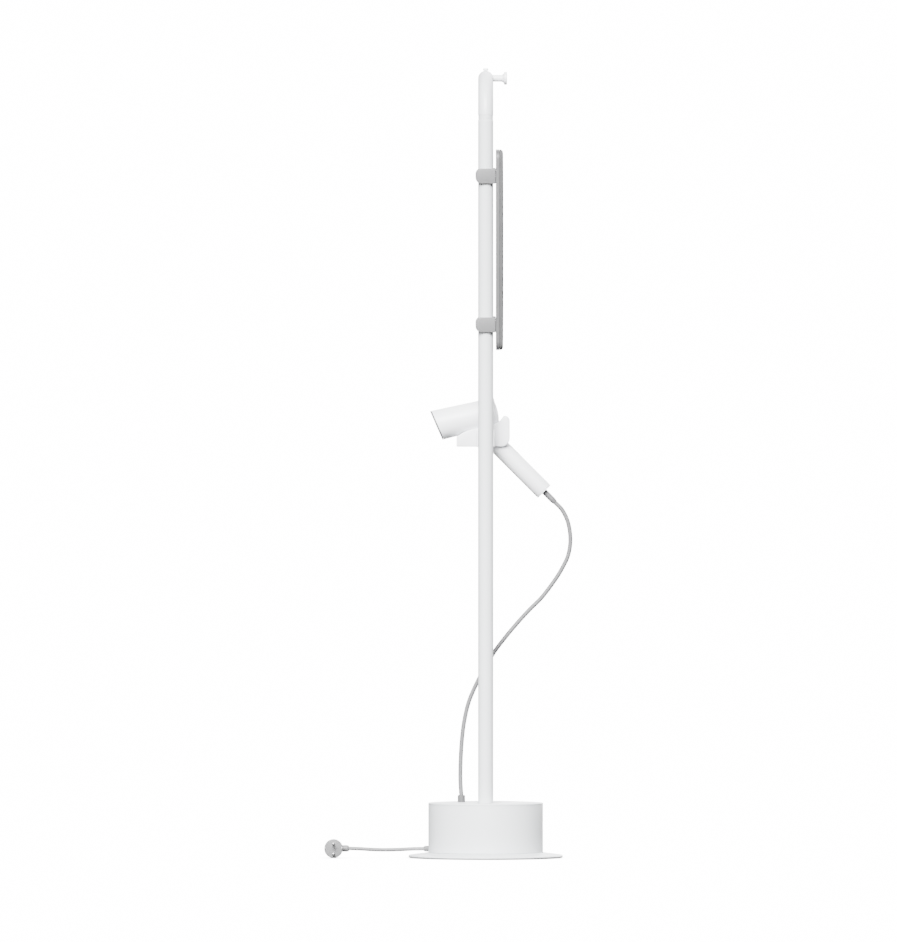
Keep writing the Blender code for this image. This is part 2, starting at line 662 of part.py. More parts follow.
def build_sockets():
    for side, sign in SIDES:
        low = PLATE_HIGH + GAP
        bore = TUBE_RADIUS + GAP
        turned(f"leg_socket_{side}", [
            (3.4 * MM, low), (24 * MM, low), (24 * MM, low + 3 * MM), (bore + 3 * MM, low + 3 * MM),
            (bore + 3 * MM, 62 * MM), (bore, 62 * MM), (bore, LEG_FOOT - GAP), (3.4 * MM, LEG_FOOT - GAP),
        ], CAST_ALUMINIUM, at=(0, sign * LEG_OFFSET, 0), steps=20)


def screw_place(angle):
    turn = math.radians(angle)
    return (SHELL_SCREW_RADIUS * math.cos(turn), SHELL_SCREW_RADIUS * math.sin(turn), 0)


def build_shell(plate):
    low = PLATE_HIGH + GAP
    shell = sleeve("base_shell", BASE_RADIUS, BASE_RADIUS - BASE_WALL, low, COVER_SEAM, BASE_PLASTIC, steps=BASE_STEPS)
    for i, angle in enumerate(SHELL_SCREW_ANGLES, start=1):
        at = screw_place(angle)
        post = rod(f"join_post_{i}", 5 * MM, low + 0.5 * MM, 40 * MM, steps=12)
        post.location = at
        rib = block(f"join_rib_{i}", (2 * MM, -1.5 * MM, low + 1 * MM), (9 * MM, 1.5 * MM, 38 * MM))
        rib.location = at
        rib.rotation_mode = "XYZ"
        rib.rotation_euler = (0, 0, math.radians(angle))
        join(shell, post, rib)
        cut(shell, rod(f"cut_post_{i}", 1.9 * MM, 0, 30 * MM, at=at, steps=10))
        well = countersunk(f"cut_screw_{i}", 4.2 * MM, 2.2 * MM, 3 * MM, 12 * MM, None,
                           at=(at[0], at[1], PLATE_LOW - 0.1 * MM), facing=ALONG_Z)
        cut(plate, well)
        countersunk(f"shell_screw_{i}", 3.8 * MM, 1.6 * MM, 2.6 * MM, 24 * MM, BRUSHED_STEEL,
                    at=(at[0], at[1], PLATE_LOW + 0.3 * MM), facing=ALONG_Z)
    power_hole = rod("cut_shell_power", POWER_RADIUS + GAP, 80 * MM, 120 * MM, at=(0, 0, POWER_HEIGHT),
                     facing=ALONG_X)
    gland_hole = rod("cut_shell_gland", 4.8 * MM, 90 * MM, 120 * MM, at=(0, 0, GLAND_Z), facing=(-1, 0, 0),
                     steps=16)
    cut(shell, power_hole, gland_hole)


def square_post(name, half, low, high):
    """A square prism on the filler neck's axis."""
    return block(name, (NECK_X - half, -half, low), (NECK_X + half, half, high))


def build_cover():
    rim = BASE_RADIUS - BASE_WALL - GAP
    skirt = COVER_SEAM - 5 * MM
    edge = BASE_HIGH - CROWN_DROP
    cover = turned("top_cover", [
        (0, COVER_SEAM + GAP), (rim - 2 * MM, COVER_SEAM + GAP), (rim - 2 * MM, skirt), (rim, skirt),
        (rim, COVER_SEAM + GAP), (BASE_RADIUS, COVER_SEAM + GAP), (BASE_RADIUS, edge - 2.4 * MM),
        (BASE_RADIUS - 0.9 * MM, edge - 0.8 * MM), (BASE_RADIUS - 3 * MM, edge), (CROWN_RADIUS, BASE_HIGH),
        (0, BASE_HIGH),
    ], BASE_PLASTIC, steps=BASE_STEPS)
    pocket_back = FLAP_AXIS_X - FLAP_HALF_THICKNESS - 0.5 * MM
    half = FLAP_HALF_WIDTH + GAP
    front = FLAP_FRONT + GAP
    wall = 3 * MM
    under = block("join_pocket", (pocket_back - wall, -half - wall, POCKET_LOW),
                  (front + wall, half + wall, COVER_SEAM + 1 * MM))
    join(cover, under)
    pocket = block("cut_pocket", (pocket_back, -half, POCKET_FLOOR), (front, half, BASE_HIGH + 5 * MM))
    neck = square_post("cut_neck", NECK_OPENING, 90 * MM, 110 * MM)
    pin = rod("cut_cover_pin", 1 * MM, -half - 2 * MM, half + 2 * MM, at=(FLAP_AXIS_X, 0, FLAP_AXIS_Z),
              facing=ALONG_Y, steps=10)
    collar = rod("cut_collar", 5.8 * MM, 90 * MM, 110 * MM, at=(COLLAR_X, 0, 0))
    cut(cover, pocket, neck, pin, collar)
    for side, sign in SIDES:
        cut(cover, rod(f"cut_cover_leg_{side}", TUBE_RADIUS + GAP, 90 * MM, 110 * MM,
                       at=(0, sign * LEG_OFFSET, 0), steps=28))


def build_flap():
    low = BASE_HIGH - 2 * FLAP_HALF_THICKNESS
    outline = arc((FLAP_AXIS_X, FLAP_AXIS_Z), FLAP_HALF_THICKNESS, 90, 270, 6)
    outline += [(FLAP_FRONT, low), (FLAP_FRONT, BASE_HIGH)]
    flap = extruded("filler_flap", [(x, -FLAP_HALF_WIDTH, z) for x, z in outline],
                    (0, 2 * FLAP_HALF_WIDTH, 0), WHITE_PLASTIC)
    bore = rod("cut_flap_bore", 1 * MM, -30 * MM, 30 * MM, at=(FLAP_AXIS_X, 0, FLAP_AXIS_Z), facing=ALONG_Y,
               steps=10)
    notch = rod("cut_flap_notch", 9 * MM, low - 1 * MM, BASE_HIGH + 1 * MM, at=(FLAP_FRONT + 4 * MM, 0, 0))
    cut(flap, bore, notch)
    rod("flap_pin", 0.7 * MM, -25.8 * MM, 25.8 * MM, BRUSHED_STEEL, at=(FLAP_AXIS_X, 0, FLAP_AXIS_Z),
        facing=ALONG_Y, steps=10)
    group("filler_hinge", (FLAP_AXIS_X, 0, FLAP_AXIS_Z), [flap])


def tank_outline(inset, z):
    """The tank seen from above: a straight back between the leg sockets and a round front."""
    back, waist, shoulder = TANK_BACK + inset, 44 * MM - inset, 24 * MM + inset
    front = arc((0, 0), TANK_RADIUS - inset, -44, 44, 12)
    points = [(back, waist), (back, -waist), (shoulder, -waist)] + front + [(shoulder, waist)]
    return [(x, y, z) for x, y in points]


def build_tank():
    tank = extruded("water_tank", tank_outline(0, TANK_LOW), (0, 0, TANK_HIGH - TANK_LOW), CLEAR_PLASTIC)
    soften(tank, 3 * MM)
    neck = square_post("join_tank_neck", NECK_HALF, TANK_HIGH - 1 * MM, POCKET_LOW - GAP)
    join(tank, neck)
    low, high = TANK_LOW + TANK_WALL, TANK_HIGH - TANK_WALL
    hollow = extruded("cut_tank_hollow", tank_outline(TANK_WALL, low), (0, 0, high - low))
    mouth = square_post("cut_tank_neck", NECK_OPENING, high - 5 * MM, BASE_HIGH)
    outlet = rod("cut_tank_outlet", 2.2 * MM, -5 * MM, 5 * MM, at=(TANK_BACK, 0, 26 * MM), facing=ALONG_X,
                 steps=10)
    cut(tank, hollow, mouth, outlet)


def build_pump():
    """The pump block behind the tank, with an outlet nipple that stops below the hose collar."""
    pump = block("pump", (-66 * MM, -18 * MM, 12 * MM), (-24 * MM, 18 * MM, 44 * MM), DARK_PLASTIC)
    soften(pump, 3 * MM)
    nipple = rod("join_nipple", 5 * MM, 40 * MM, 70 * MM, at=(COLLAR_X, 0, 0), steps=14)
    motor = rod("join_motor", 13 * MM, 64 * MM, 84 * MM, at=(0, 0, 29 * MM), facing=(-1, 0, 0), steps=16)
    join(pump, nipple, motor)
    sleeve("feed_pipe", 3 * MM, 2 * MM, -23.7 * MM, TANK_BACK - GAP, CLEAR_PLASTIC, at=(0, 0, 26 * MM),
           facing=ALONG_X, steps=12)


def build_electrics():
    board = block("circuit_board", (-74 * MM, 34 * MM, 18 * MM), (-26 * MM, 35.6 * MM, 62 * MM), CIRCUIT_GREEN)
    relay = block("join_relay", (-68 * MM, 35 * MM, 26 * MM), (-52 * MM, 46 * MM, 40 * MM))
    capacitor = rod("join_capacitor", 5 * MM, 35 * MM, 50 * MM, at=(-38 * MM, 0, 50 * MM), facing=ALONG_Y, steps=12)
    join(board, relay, capacitor)
    button = turned("power_button", [
        (0, 98.5 * MM), (POWER_RADIUS + 1.5 * MM, 98.5 * MM), (POWER_RADIUS + 1.5 * MM, 100.5 * MM),
        (POWER_RADIUS, 101 * MM), (POWER_RADIUS, 105.2 * MM), (POWER_RADIUS - 1 * MM, 106.2 * MM), (0, 106.2 * MM),
    ], GREY_PLASTIC, at=(0, 0, POWER_HEIGHT), facing=ALONG_X)
    group("power_press", (BASE_RADIUS, 0, POWER_HEIGHT), [button])
    block("power_switch", (86.5 * MM, -7 * MM, POWER_HEIGHT - 7 * MM), (95.5 * MM, 7 * MM, POWER_HEIGHT + 7 * MM),
          DARK_PLASTIC)


def build_fittings():
    turned("hose_collar", [
        (0, 71 * MM), (5 * MM, 71 * MM), (5.4 * MM, 73 * MM), (5.4 * MM, BASE_HIGH + GAP),
        (7 * MM, BASE_HIGH + GAP), (7 * MM, COLLAR_TOP - 1.5 * MM), (5.8 * MM, COLLAR_TOP), (0, COLLAR_TOP),
    ], GREY_PLASTIC, at=(COLLAR_X, 0, 0), steps=20)
    turned("mains_gland", [
        (0, 92 * MM), (6.4 * MM, 92 * MM), (6.4 * MM, 97 * MM), (4.5 * MM, 97 * MM),
        (4.5 * MM, BASE_RADIUS + GAP), (5.5 * MM, BASE_RADIUS + GAP), (5.5 * MM, 111 * MM), (4.2 * MM, 115 * MM),
        (0, 115 * MM),
    ], DARK_PLASTIC, at=(0, 0, GLAND_Z), facing=(-1, 0, 0), steps=20)
    sleeve("foot_ring", FOOT_OUTER - GAP, FOOT_INNER + GAP, 0, FOOT_GROOVE - GAP, DARK_RUBBER, steps=BASE_STEPS)


def build_base():
    plate = build_plate()
    build_sockets()
    build_shell(plate)
    build_cover()
    build_flap()
    build_tank()
    build_pump()
    build_electrics()
    build_fittings()


# ---------------------------------------------------------------- cords and plug


def build_plug():
    """A round-faced plug on its side: its flat back at +Y, its face and pins at -Y, the cord's sleeve at +X."""
    body = turned("plug_body", [
        (0, PLUG_FACE), (PLUG_RADIUS - 0.6 * MM, PLUG_FACE), (PLUG_RADIUS, PLUG_FACE + 0.8 * MM),
        (PLUG_RADIUS, PLUG_BACK - 2 * MM), (PLUG_RADIUS - 2 * MM, PLUG_BACK), (0, PLUG_BACK),
    ], GREY_PLASTIC, at=(PLUG_X, 0, PLUG_Z), facing=ALONG_Y, steps=32)
    sleeve_profile = [
        (0, PLUG_X + 2 * MM), (SLEEVE_RADIUS, PLUG_X + 2 * MM), (SLEEVE_RADIUS, SLEEVE_END - 4 * MM),
        (SLEEVE_RADIUS - 1.2 * MM, SLEEVE_END), (0, SLEEVE_END),
    ]
    join(body, turned("join_plug_sleeve", sleeve_profile, at=(0, 0, PLUG_Z), facing=ALONG_X, steps=18))
    corner_x, corner_y = PLUG_X - PLUG_RADIUS, PLUG_BACK
    reach = 10 * MM
    outline = [
        (corner_x - reach, corner_y - PLUG_CHAMFER - reach), (corner_x + PLUG_CHAMFER + reach, corner_y + reach),
        (corner_x - reach, corner_y + reach),
    ]
    low = PLUG_Z - 2 * PLUG_RADIUS
    wedge = extruded("cut_plug_corner", [(x, y, low) for x, y in outline], (0, 0, 4 * PLUG_RADIUS))
    cut(body, wedge)
    for name, sign in (("upper", 1), ("lower", -1)):
        z = PLUG_Z + sign * PIN_SPACING / 2
        turned(f"plug_pin_{name}", [
            (0, GAP), (PIN_RADIUS, GAP), (PIN_RADIUS, PIN_LENGTH - 1 * MM), (PIN_RADIUS - 1 * MM, PIN_LENGTH),
            (0, PIN_LENGTH),
        ], PIN_METAL, at=(PLUG_X, PLUG_FACE, z), facing=(0, -1, 0), steps=14)


def main():
    for obj in list(bpy.data.objects):
        bpy.data.objects.remove(obj)
    build_legs()
    build_bow()
    build_peg()
    build_board()
    build_fork()
    build_hand_piece()
    build_base()
    cord("steam_hose", HOSE_ROUTE, HOSE_RADIUS, HOSE_PLASTIC)
    cord("mains_cord", CORD_ROUTE, CORD_RADIUS, CORD_PLASTIC)
    build_plug()


main()
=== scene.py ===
"""The looks of the garment steamer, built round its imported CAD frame.

Frame: metres, +Z up, +X is the front of the stand. The camera looks along +Y, at the stand's
exact side.
"""

import json
import math

import bmesh
import bpy
from mathutils import Matrix, Vector


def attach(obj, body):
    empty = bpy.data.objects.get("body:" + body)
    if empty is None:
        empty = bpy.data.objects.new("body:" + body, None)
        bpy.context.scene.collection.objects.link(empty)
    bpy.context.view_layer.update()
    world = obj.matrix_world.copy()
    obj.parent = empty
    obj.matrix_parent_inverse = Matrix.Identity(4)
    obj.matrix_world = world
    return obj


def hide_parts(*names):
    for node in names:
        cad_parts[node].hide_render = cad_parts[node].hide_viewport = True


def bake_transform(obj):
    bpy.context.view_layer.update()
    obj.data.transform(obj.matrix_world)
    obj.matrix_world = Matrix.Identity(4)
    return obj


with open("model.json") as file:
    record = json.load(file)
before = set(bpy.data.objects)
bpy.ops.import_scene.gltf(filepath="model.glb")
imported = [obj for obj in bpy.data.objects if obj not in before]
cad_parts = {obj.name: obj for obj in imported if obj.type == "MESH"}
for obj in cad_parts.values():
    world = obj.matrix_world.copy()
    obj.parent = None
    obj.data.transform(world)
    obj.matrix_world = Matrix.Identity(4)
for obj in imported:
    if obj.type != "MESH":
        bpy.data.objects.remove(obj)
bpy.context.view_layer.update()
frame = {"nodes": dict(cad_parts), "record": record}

MM = 0.001
GAP = 0.3 * MM
ALONG_X = Vector((1, 0, 0))
ALONG_Y = Vector((0, 1, 0))
ALONG_Z = Vector((0, 0, 1))
SIDES = (("left", 1), ("right", -1))
STAND = "stand"
BOARD = "board"
HAND_PIECE = "hand_piece"

# Arched tube frame and its peg
TUBE_RADIUS = 14 * MM
TUBE_BORE = 12.4 * MM
LEG_OFFSET = 73 * MM
LEG_FOOT = 18.6 * MM
BOW_START = 1372 * MM
SPIGOT_REACH = 30 * MM
APEX = BOW_START + LEG_OFFSET
JOINT_BAND = 4.6 * MM
JOINT_STEP = 0.5 * MM

# Pressing board and its clips
BOARD_LOW = 942.4 * MM
BOARD_HIGH = 1312.8 * MM
BOARD_HALF_WIDTH = 105 * MM
BOARD_BACK = 18.8 * MM
BOARD_SEAM = 26 * MM
BOARD_FRONT = 32.9 * MM
BOARD_CORNER = 16 * MM
CLIP_HEIGHTS = {"lower": 989.1 * MM, "upper": 1264.4 * MM}
CLIP_BACK = -19 * MM
CLIP_HALF_HEIGHT = 14 * MM
CLIP_HALF_WIDTH = 19 * MM
CLIP_SCREW_INSET = 12 * MM

# Fork
FORK_LOW = 762.7 * MM
FORK_BACK = -54 * MM
FORK_FRONT = 44.4 * MM
FORK_HALF_GAP = 17 * MM
FORK_HALF_WIDTH = 24 * MM
FORK_WEB_INNER = -46 * MM
ARM_BACK = -17 * MM
ARM_FRONT = 16.4 * MM
ARM_HIGH = 793.7 * MM
ARM_SCREW_HEIGHT = 778 * MM

# Hand piece
BARREL_REAR = Vector((20.7, 0, 827.8)) * MM
BARREL_TILT = math.radians(13.1)
BARREL_LENGTH = 115.3 * MM
BARREL_REAR_RADIUS = 26.35 * MM
BARREL_MOUTH_RADIUS = 28.5 * MM
BARREL_WALL = 2.4 * MM
REAR_CAP_DEPTH = 2.6 * MM
MOUTH_RING_DEPTH = 2.7 * MM
MOUTH_SLANT = math.tan(math.radians(10.4))
BARREL_DIRECTION = Vector((-math.cos(BARREL_TILT), 0, -math.sin(BARREL_TILT)))
LIFT_DIRECTION = Vector((-math.sin(BARREL_TILT), 0, math.cos(BARREL_TILT)))
HANDLE_END = Vector((108.6, 0, 679.1)) * MM
HANDLE_DIRECTION = Vector((1, 0, -1)).normalized()
HANDLE_UP = Vector((1, 0, 1)).normalized()
HANDLE_LENGTH = 198 * MM
HANDLE_TOP = HANDLE_END - HANDLE_DIRECTION * HANDLE_LENGTH
HANDLE_RADIUS = 16.7 * MM
HANDLE_BORE = 14.4 * MM
HANDLE_CAP_DEPTH = 2.5 * MM
BUTTON_PLACE = 105 * MM
RELIEF_LENGTH = 28 * MM
RELIEF_RADIUS = 5.5 * MM

# Base
PLATE_LOW = 1.2 * MM
PLATE_HIGH = 10 * MM
PLATE_RADIUS = 144 * MM
BASE_RADIUS = 106.35 * MM
BASE_WALL = 2.3 * MM
BASE_HIGH = 103.4 * MM
COVER_SEAM = 98.8 * MM
CROWN_RADIUS = 84 * MM
CROWN_DROP = 1 * MM
FOOT_INNER = 118 * MM
FOOT_OUTER = 132 * MM
SHELL_SCREW_RADIUS = 96 * MM
SHELL_SCREW_ANGLES = (60, 150, 210, 300)
NECK_X = 55 * MM
NECK_OPENING = 12.5 * MM
FLAP_AXIS_X = 30.5 * MM
FLAP_HALF_THICKNESS = 2.2 * MM
FLAP_FRONT = 79.7 * MM
FLAP_HALF_WIDTH = 24 * MM
FLAP_AXIS_Z = BASE_HIGH - FLAP_HALF_THICKNESS
POCKET_FLOOR = 98.6 * MM
POCKET_LOW = 95.8 * MM
TANK_BACK = -8 * MM
FEED_HEIGHT = 26 * MM
POWER_HEIGHT = 60 * MM
POWER_RADIUS = 8 * MM
COLLAR_X = -45 * MM
COLLAR_TOP = 116.7 * MM
GLAND_Z = 17 * MM

# Steam hose and mains cord: the points their middles pass through, as (x, z) in millimetres.
# Both ends
# reach a little into the fittings they come out of.
HOSE_RADIUS = 4 * MM
HOSE_ROUTE = [
    (127.1, 660.6), (142.3, 644.3), (153.0, 620.5), (157.1, 589.8), (153.0, 561.4), (142.3, 537.9),
    (129.3, 516.5), (104.5, 483.5), (80.9, 459.8), (57.2, 433.8), (33.7, 405.5), (12.9, 377.1),
    (-10.5, 335.8), (-29.9, 293.1), (-39.2, 256.0), (-44.0, 219.0), (-46.3, 181.9), (-46.8, 144.8),
    (-45.0, 113.5),
]
CORD_RADIUS = 3.4 * MM
CORD_ROUTE = [
    (-112.6, 17.0), (-135.0, 16.6), (-160.0, 15.4), (-185.0, 14.9), (-210.0, 15.4), (-235.0, 16.9),
    (-255.5, 17.5),
]

# Angled plug, which lies on its side
PLUG_X = -282 * MM
PLUG_Z = 17.5 * MM
PLUG_RADIUS = 17.25 * MM
PLUG_BACK = 7 * MM
PLUG_FACE = -27.8 * MM
PLUG_CHAMFER = 12 * MM
SLEEVE_RADIUS = 6.2 * MM
SLEEVE_END = -253.3 * MM
PIN_RADIUS = 2.4 * MM
PIN_LENGTH = 19 * MM
PIN_SPACING = 19 * MM


# ---------------------------------------------------------------- camera, light and floor

DOME_FILL = 0.04
DOME_PATCHES = (((-0.14, -0.815, 0.56), 36, 119.0), ((0.28, 0.86, 0.43), 8, 13.0))
KEY_POWER = 60
FLOOR_BOUNCE = 0.05
WHITE_GLOW = 16


def build_camera():
    """A long lens at the side, a little above the middle, as in a catalogue picture."""
    target = Vector((-0.0689, 0, 0.7172))
    tilt = math.radians(1.0)
    back = Vector((0, -math.cos(tilt), math.sin(tilt)))
    data = bpy.data.cameras.new("side_camera")
    data.lens = 1200
    data.sensor_width = 36
    data.clip_start = 1
    data.clip_end = 200
    camera = bpy.data.objects.new("side_camera", data)
    bpy.context.scene.collection.objects.link(camera)
    camera.location = target + back * 58.2
    camera.rotation_mode = "QUATERNION"
    camera.rotation_quaternion = (-back).to_track_quat("-Z", "Y")
    bpy.context.scene.camera = camera


def softbox(name, place, aim, size, power):
    data = bpy.data.lights.new(name, "AREA")
    data.shape = "RECTANGLE"
    data.size, data.size_y = size
    data.energy = power
    light = bpy.data.objects.new(name, data)
    bpy.context.scene.collection.objects.link(light)
    light.location = place
    light.rotation_mode = "QUATERNION"
    light.rotation_quaternion = (Vector(aim) - Vector(place)).to_track_quat("-Z", "Y")


def white_to_the_camera(tree, seen, lit):
    """Picks the first shader for the camera's own rays and the second for all other light."""
    path = tree.nodes.new("ShaderNodeLightPath")
    mix = tree.nodes.new("ShaderNodeMixShader")
    tree.links.new(path.outputs["Is Camera Ray"], mix.inputs[0])
    tree.links.new(lit, mix.inputs[1])
    tree.links.new(seen, mix.inputs[2])
    return mix.outputs[0]


def patch(tree, direction, axis, focus, strength):
    """A soft round patch of light about an axis, narrower the higher its focus."""
    facing = tree.nodes.new("ShaderNodeVectorMath")
    facing.operation = "DOT_PRODUCT"
    facing.inputs[1].default_value = Vector(axis).normalized()
    tree.links.new(direction, facing.inputs[0])
    value = facing.outputs["Value"]
    for operation, number in (("MAXIMUM", 0), ("POWER", focus), ("MULTIPLY", strength)):
        step = tree.nodes.new("ShaderNodeMath")
        step.operation = operation
        step.inputs[1].default_value = number
        tree.links.new(value, step.inputs[0])
        value = step.outputs[0]
    return value


def build_studio():
    """A dome with a bright patch above the camera and a weaker one behind, and a softbox."""
    world = bpy.data.worlds.new("studio")
    bpy.context.scene.world = world
    world.use_nodes = True
    tree = world.node_tree
    tree.nodes.clear()
    seen = tree.nodes.new("ShaderNodeBackground")
    seen.inputs["Color"].default_value = (1, 1, 1, 1)
    seen.inputs["Strength"].default_value = WHITE_GLOW
    direction = tree.nodes.new("ShaderNodeTexCoord").outputs["Generated"]
    total = tree.nodes.new("ShaderNodeMath")
    total.operation = "ADD"
    for i, (axis, focus, strength) in enumerate(DOME_PATCHES):
        tree.links.new(patch(tree, direction, axis, focus, strength), total.inputs[i])
    filled = tree.nodes.new("ShaderNodeMath")
    filled.operation = "ADD"
    filled.inputs[1].default_value = DOME_FILL
    tree.links.new(total.outputs[0], filled.inputs[0])
    lit = tree.nodes.new("ShaderNodeBackground")
    lit.inputs["Color"].default_value = (1, 1, 1, 1)
    tree.links.new(filled.outputs[0], lit.inputs["Strength"])
    output = tree.nodes.new("ShaderNodeOutputWorld")
    mixed = white_to_the_camera(tree, seen.outputs[0], lit.outputs[0])
    tree.links.new(mixed, output.inputs["Surface"])
    softbox("key_light", (-2.0, -4.2, 4.4), (0, 0, 0.75), (3.0, 3.0), KEY_POWER)


def build_floor():
    bpy.ops.mesh.primitive_plane_add(size=60, location=(0, 0, 0))
    floor = bpy.context.object
    floor.name = "floor"
    made = bpy.data.materials.new("pale_floor")
    made.use_nodes = True
    tree = made.node_tree
    shader = tree.nodes["Principled BSDF"]
    shader.inputs["Base Color"].default_value = (FLOOR_BOUNCE, FLOOR_BOUNCE, FLOOR_BOUNCE, 1)
    shader.inputs["Roughness"].default_value = 0.9
    # Ambient occlusion dims the floor's white glow near the stand, down to 1.2 in the tightest
    # spots: a painted contact shadow, seen only by the camera.
    near = tree.nodes.new("ShaderNodeAmbientOcclusion")
    near.inputs["Distance"].default_value = 0.03
    near.samples = 16
    spread = tree.nodes.new("ShaderNodeMapRange")
    spread.inputs["From Min"].default_value = 0.15
    spread.inputs["From Max"].default_value = 0.9
    spread.inputs["To Min"].default_value = 1.2
    spread.inputs["To Max"].default_value = WHITE_GLOW
    tree.links.new(near.outputs["AO"], spread.inputs["Value"])
    glow = tree.nodes.new("ShaderNodeEmission")
    tree.links.new(spread.outputs[0], glow.inputs["Strength"])
    mixed = white_to_the_camera(tree, glow.outputs[0], shader.outputs[0])
    tree.links.new(mixed, tree.nodes["Material Output"].inputs["Surface"])
    floor.data.materials.append(made)


# ---------------------------------------------------------------- shape helpers


def linked(name, bm, smooth=35):
    bmesh.ops.recalc_face_normals(bm, faces=bm.faces)
    mesh = bpy.data.meshes.new(name)
    bm.to_mesh(mesh)
    bm.free()
    mesh.shade_smooth()
    mesh.set_sharp_from_angle(angle=math.radians(smooth))
    obj = bpy.data.objects.new(name, mesh)
    bpy.context.scene.collection.objects.link(obj)
    return obj


def filleted(points, steps=5):
    """Rounds each corner given as (x, y, radius). One given as (x, y) stays sharp."""
    made = []
    for i, point in enumerate(points):
        corner = Vector(point[:2])
        if len(point) == 2:
            made.append(tuple(corner))
            continue
        before = Vector(points[i - 1][:2]) - corner
        after = Vector(points[(i + 1) % len(points)][:2]) - corner
        half = before.angle(after) / 2
        reach = min(point[2] / math.tan(half), 0.49 * before.length, 0.49 * after.length)
        radius = reach * math.tan(half)
        before.normalize()
        after.normalize()
        centre = corner + (before + after).normalized() * radius / math.sin(half)
        start, end = corner + before * reach - centre, corner + after * reach - centre
        turn = math.pi - 2 * half
        for step in range(steps + 1):
            t = step / steps
            spoke = (start * math.sin((1 - t) * turn) + end * math.sin(t * turn)) / math.sin(turn)
            made.append(tuple(centre + spoke))
    return made


def place_matrix(at, facing):
    turn = ALONG_Z.rotation_difference(Vector(facing)).to_matrix().to_4x4()
    return Matrix.Translation(Vector(at)) @ turn


def lathe(name, profile, at=(0, 0, 0), facing=ALONG_Z, steps=96, bend=None, smooth=35):
    """Turns a profile of (radius, height) corners about its axis. A third number is a fillet."""
    points = filleted(profile)
    bm = bmesh.new()
    corners = [bm.verts.new((max(radius, 0), 0, height)) for radius, height in points]
    edges = [bm.edges.new(pair) for pair in zip(corners, corners[1:])]
    if profile[0][0] > 0:
        edges.append(bm.edges.new((corners[-1], corners[0])))
    bmesh.ops.spin(bm, geom=corners + edges, axis=ALONG_Z, angle=math.tau, steps=steps,
        use_merge=True)
    bmesh.ops.remove_doubles(bm, verts=bm.verts, dist=1e-6)
    if bend:
        for vert in bm.verts:
            vert.co = bend(vert.co)
    bmesh.ops.transform(bm, matrix=place_matrix(at, facing), verts=bm.verts)
    return linked(name, bm, smooth)


def prism(name, outline, travel):
    bm = bmesh.new()
    face = bm.faces.new([bm.verts.new(point) for point in outline])
    pushed = bmesh.ops.extrude_face_region(bm, geom=[face])["geom"]
    bmesh.ops.translate(bm, verts=[v for v in pushed if isinstance(v, bmesh.types.BMVert)],
        vec=travel)
    return linked(name, bm)


def boxes(name, spans):
    """Separate boxes in one mesh, each from its low corner to its high one."""
    bm = bmesh.new()
    for low, high in spans:
        low, high = Vector(low), Vector(high)
        size = Matrix.Diagonal((high - low).to_4d())
        size[3][3] = 1
        bmesh.ops.create_cube(bm, size=1, matrix=Matrix.Translation((low + high) / 2) @ size)
    return linked(name, bm)


def settle(obj):
    """Applies every modifier."""
    graph = bpy.context.evaluated_depsgraph_get()
    mesh = bpy.data.meshes.new_from_object(obj.evaluated_get(graph))
    obj.modifiers.clear()
    obj.data = mesh
    return obj


def combine(obj, operation, *tools):
    for tool in tools:
        modifier = obj.modifiers.new(tool.name, "BOOLEAN")
        modifier.operation = operation
        modifier.object = tool
    settle(obj)
    for tool in tools:
        bpy.data.objects.remove(tool)
    return obj


def carve(obj, *tools):
    return combine(obj, "DIFFERENCE", *tools)


def soften(obj, width, segments=3, angle=35):
    modifier = obj.modifiers.new("soft edges", "BEVEL")
    modifier.width = width
    modifier.segments = segments
    modifier.limit_method = "ANGLE"
    modifier.angle_limit = math.radians(angle)
    settle(obj)
    obj.data.set_sharp_from_angle(angle=math.radians(angle + 5))
    return obj


def tube(name, path, radius, sides=24):
    """A round tube along a path in the plane y = 0, with closed ends."""
    bm = bmesh.new()
    rings = []
    for i, point in enumerate(path):
        along = (path[min(i + 1, len(path) - 1)] - path[max(i - 1, 0)]).normalized()
        across = along.cross(ALONG_Y)
        turns = [math.tau * k / sides for k in range(sides)]
        rings.append([
            bm.verts.new(point + (across * math.cos(a) + ALONG_Y * math.sin(a)) * radius)
            for a in turns
        ])
    for ring, following in zip(rings, rings[1:]):
        for k in range(sides):
            m = (k + 1) % sides
            bm.faces.new((ring[k], ring[m], following[m], following[k]))
    bm.faces.new(rings[0])
    bm.faces.new(rings[-1])
    return linked(name, bm, smooth=60)


def smooth_route(points, spacing):
    """Points on a Catmull-Rom curve through (x, z) points in millimetres, as vectors at y = 0."""
    route = [Vector((x, 0, z)) * MM for x, z in points]
    ends = [2 * route[0] - route[1]] + route + [2 * route[-1] - route[-2]]
    made = []
    for before, start, end, after in zip(ends, ends[1:], ends[2:], ends[3:]):
        steps = max(1, round((end - start).length / spacing))
        for step in range(steps):
            t = step / steps
            made.append(
                0.5 * (
                    2 * start
                    + (end - before) * t
                    + (2 * before - 5 * start + 4 * end - after) * t**2
                    + (3 * start - before - 3 * end + after) * t**3
                )
            )
    return made + [route[-1]]


def arc(centre, radius, start, end, steps=14):
    angles = [math.radians(start + (end - start) * i / steps) for i in range(steps + 1)]
    return [(centre[0] + radius * math.cos(a), centre[1] + radius * math.sin(a)) for a in angles]


def show(obj, body, finish, *nodes, slot=None):
    """Gives a piece its material and body, and hides the CAD nodes that it stands for."""
    obj.data.materials.clear()
    obj.data.materials.append(FINISHES[finish])
    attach(obj, body)
    if nodes:
        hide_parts(*nodes)
    return obj


# ---------------------------------------------------------------- materials


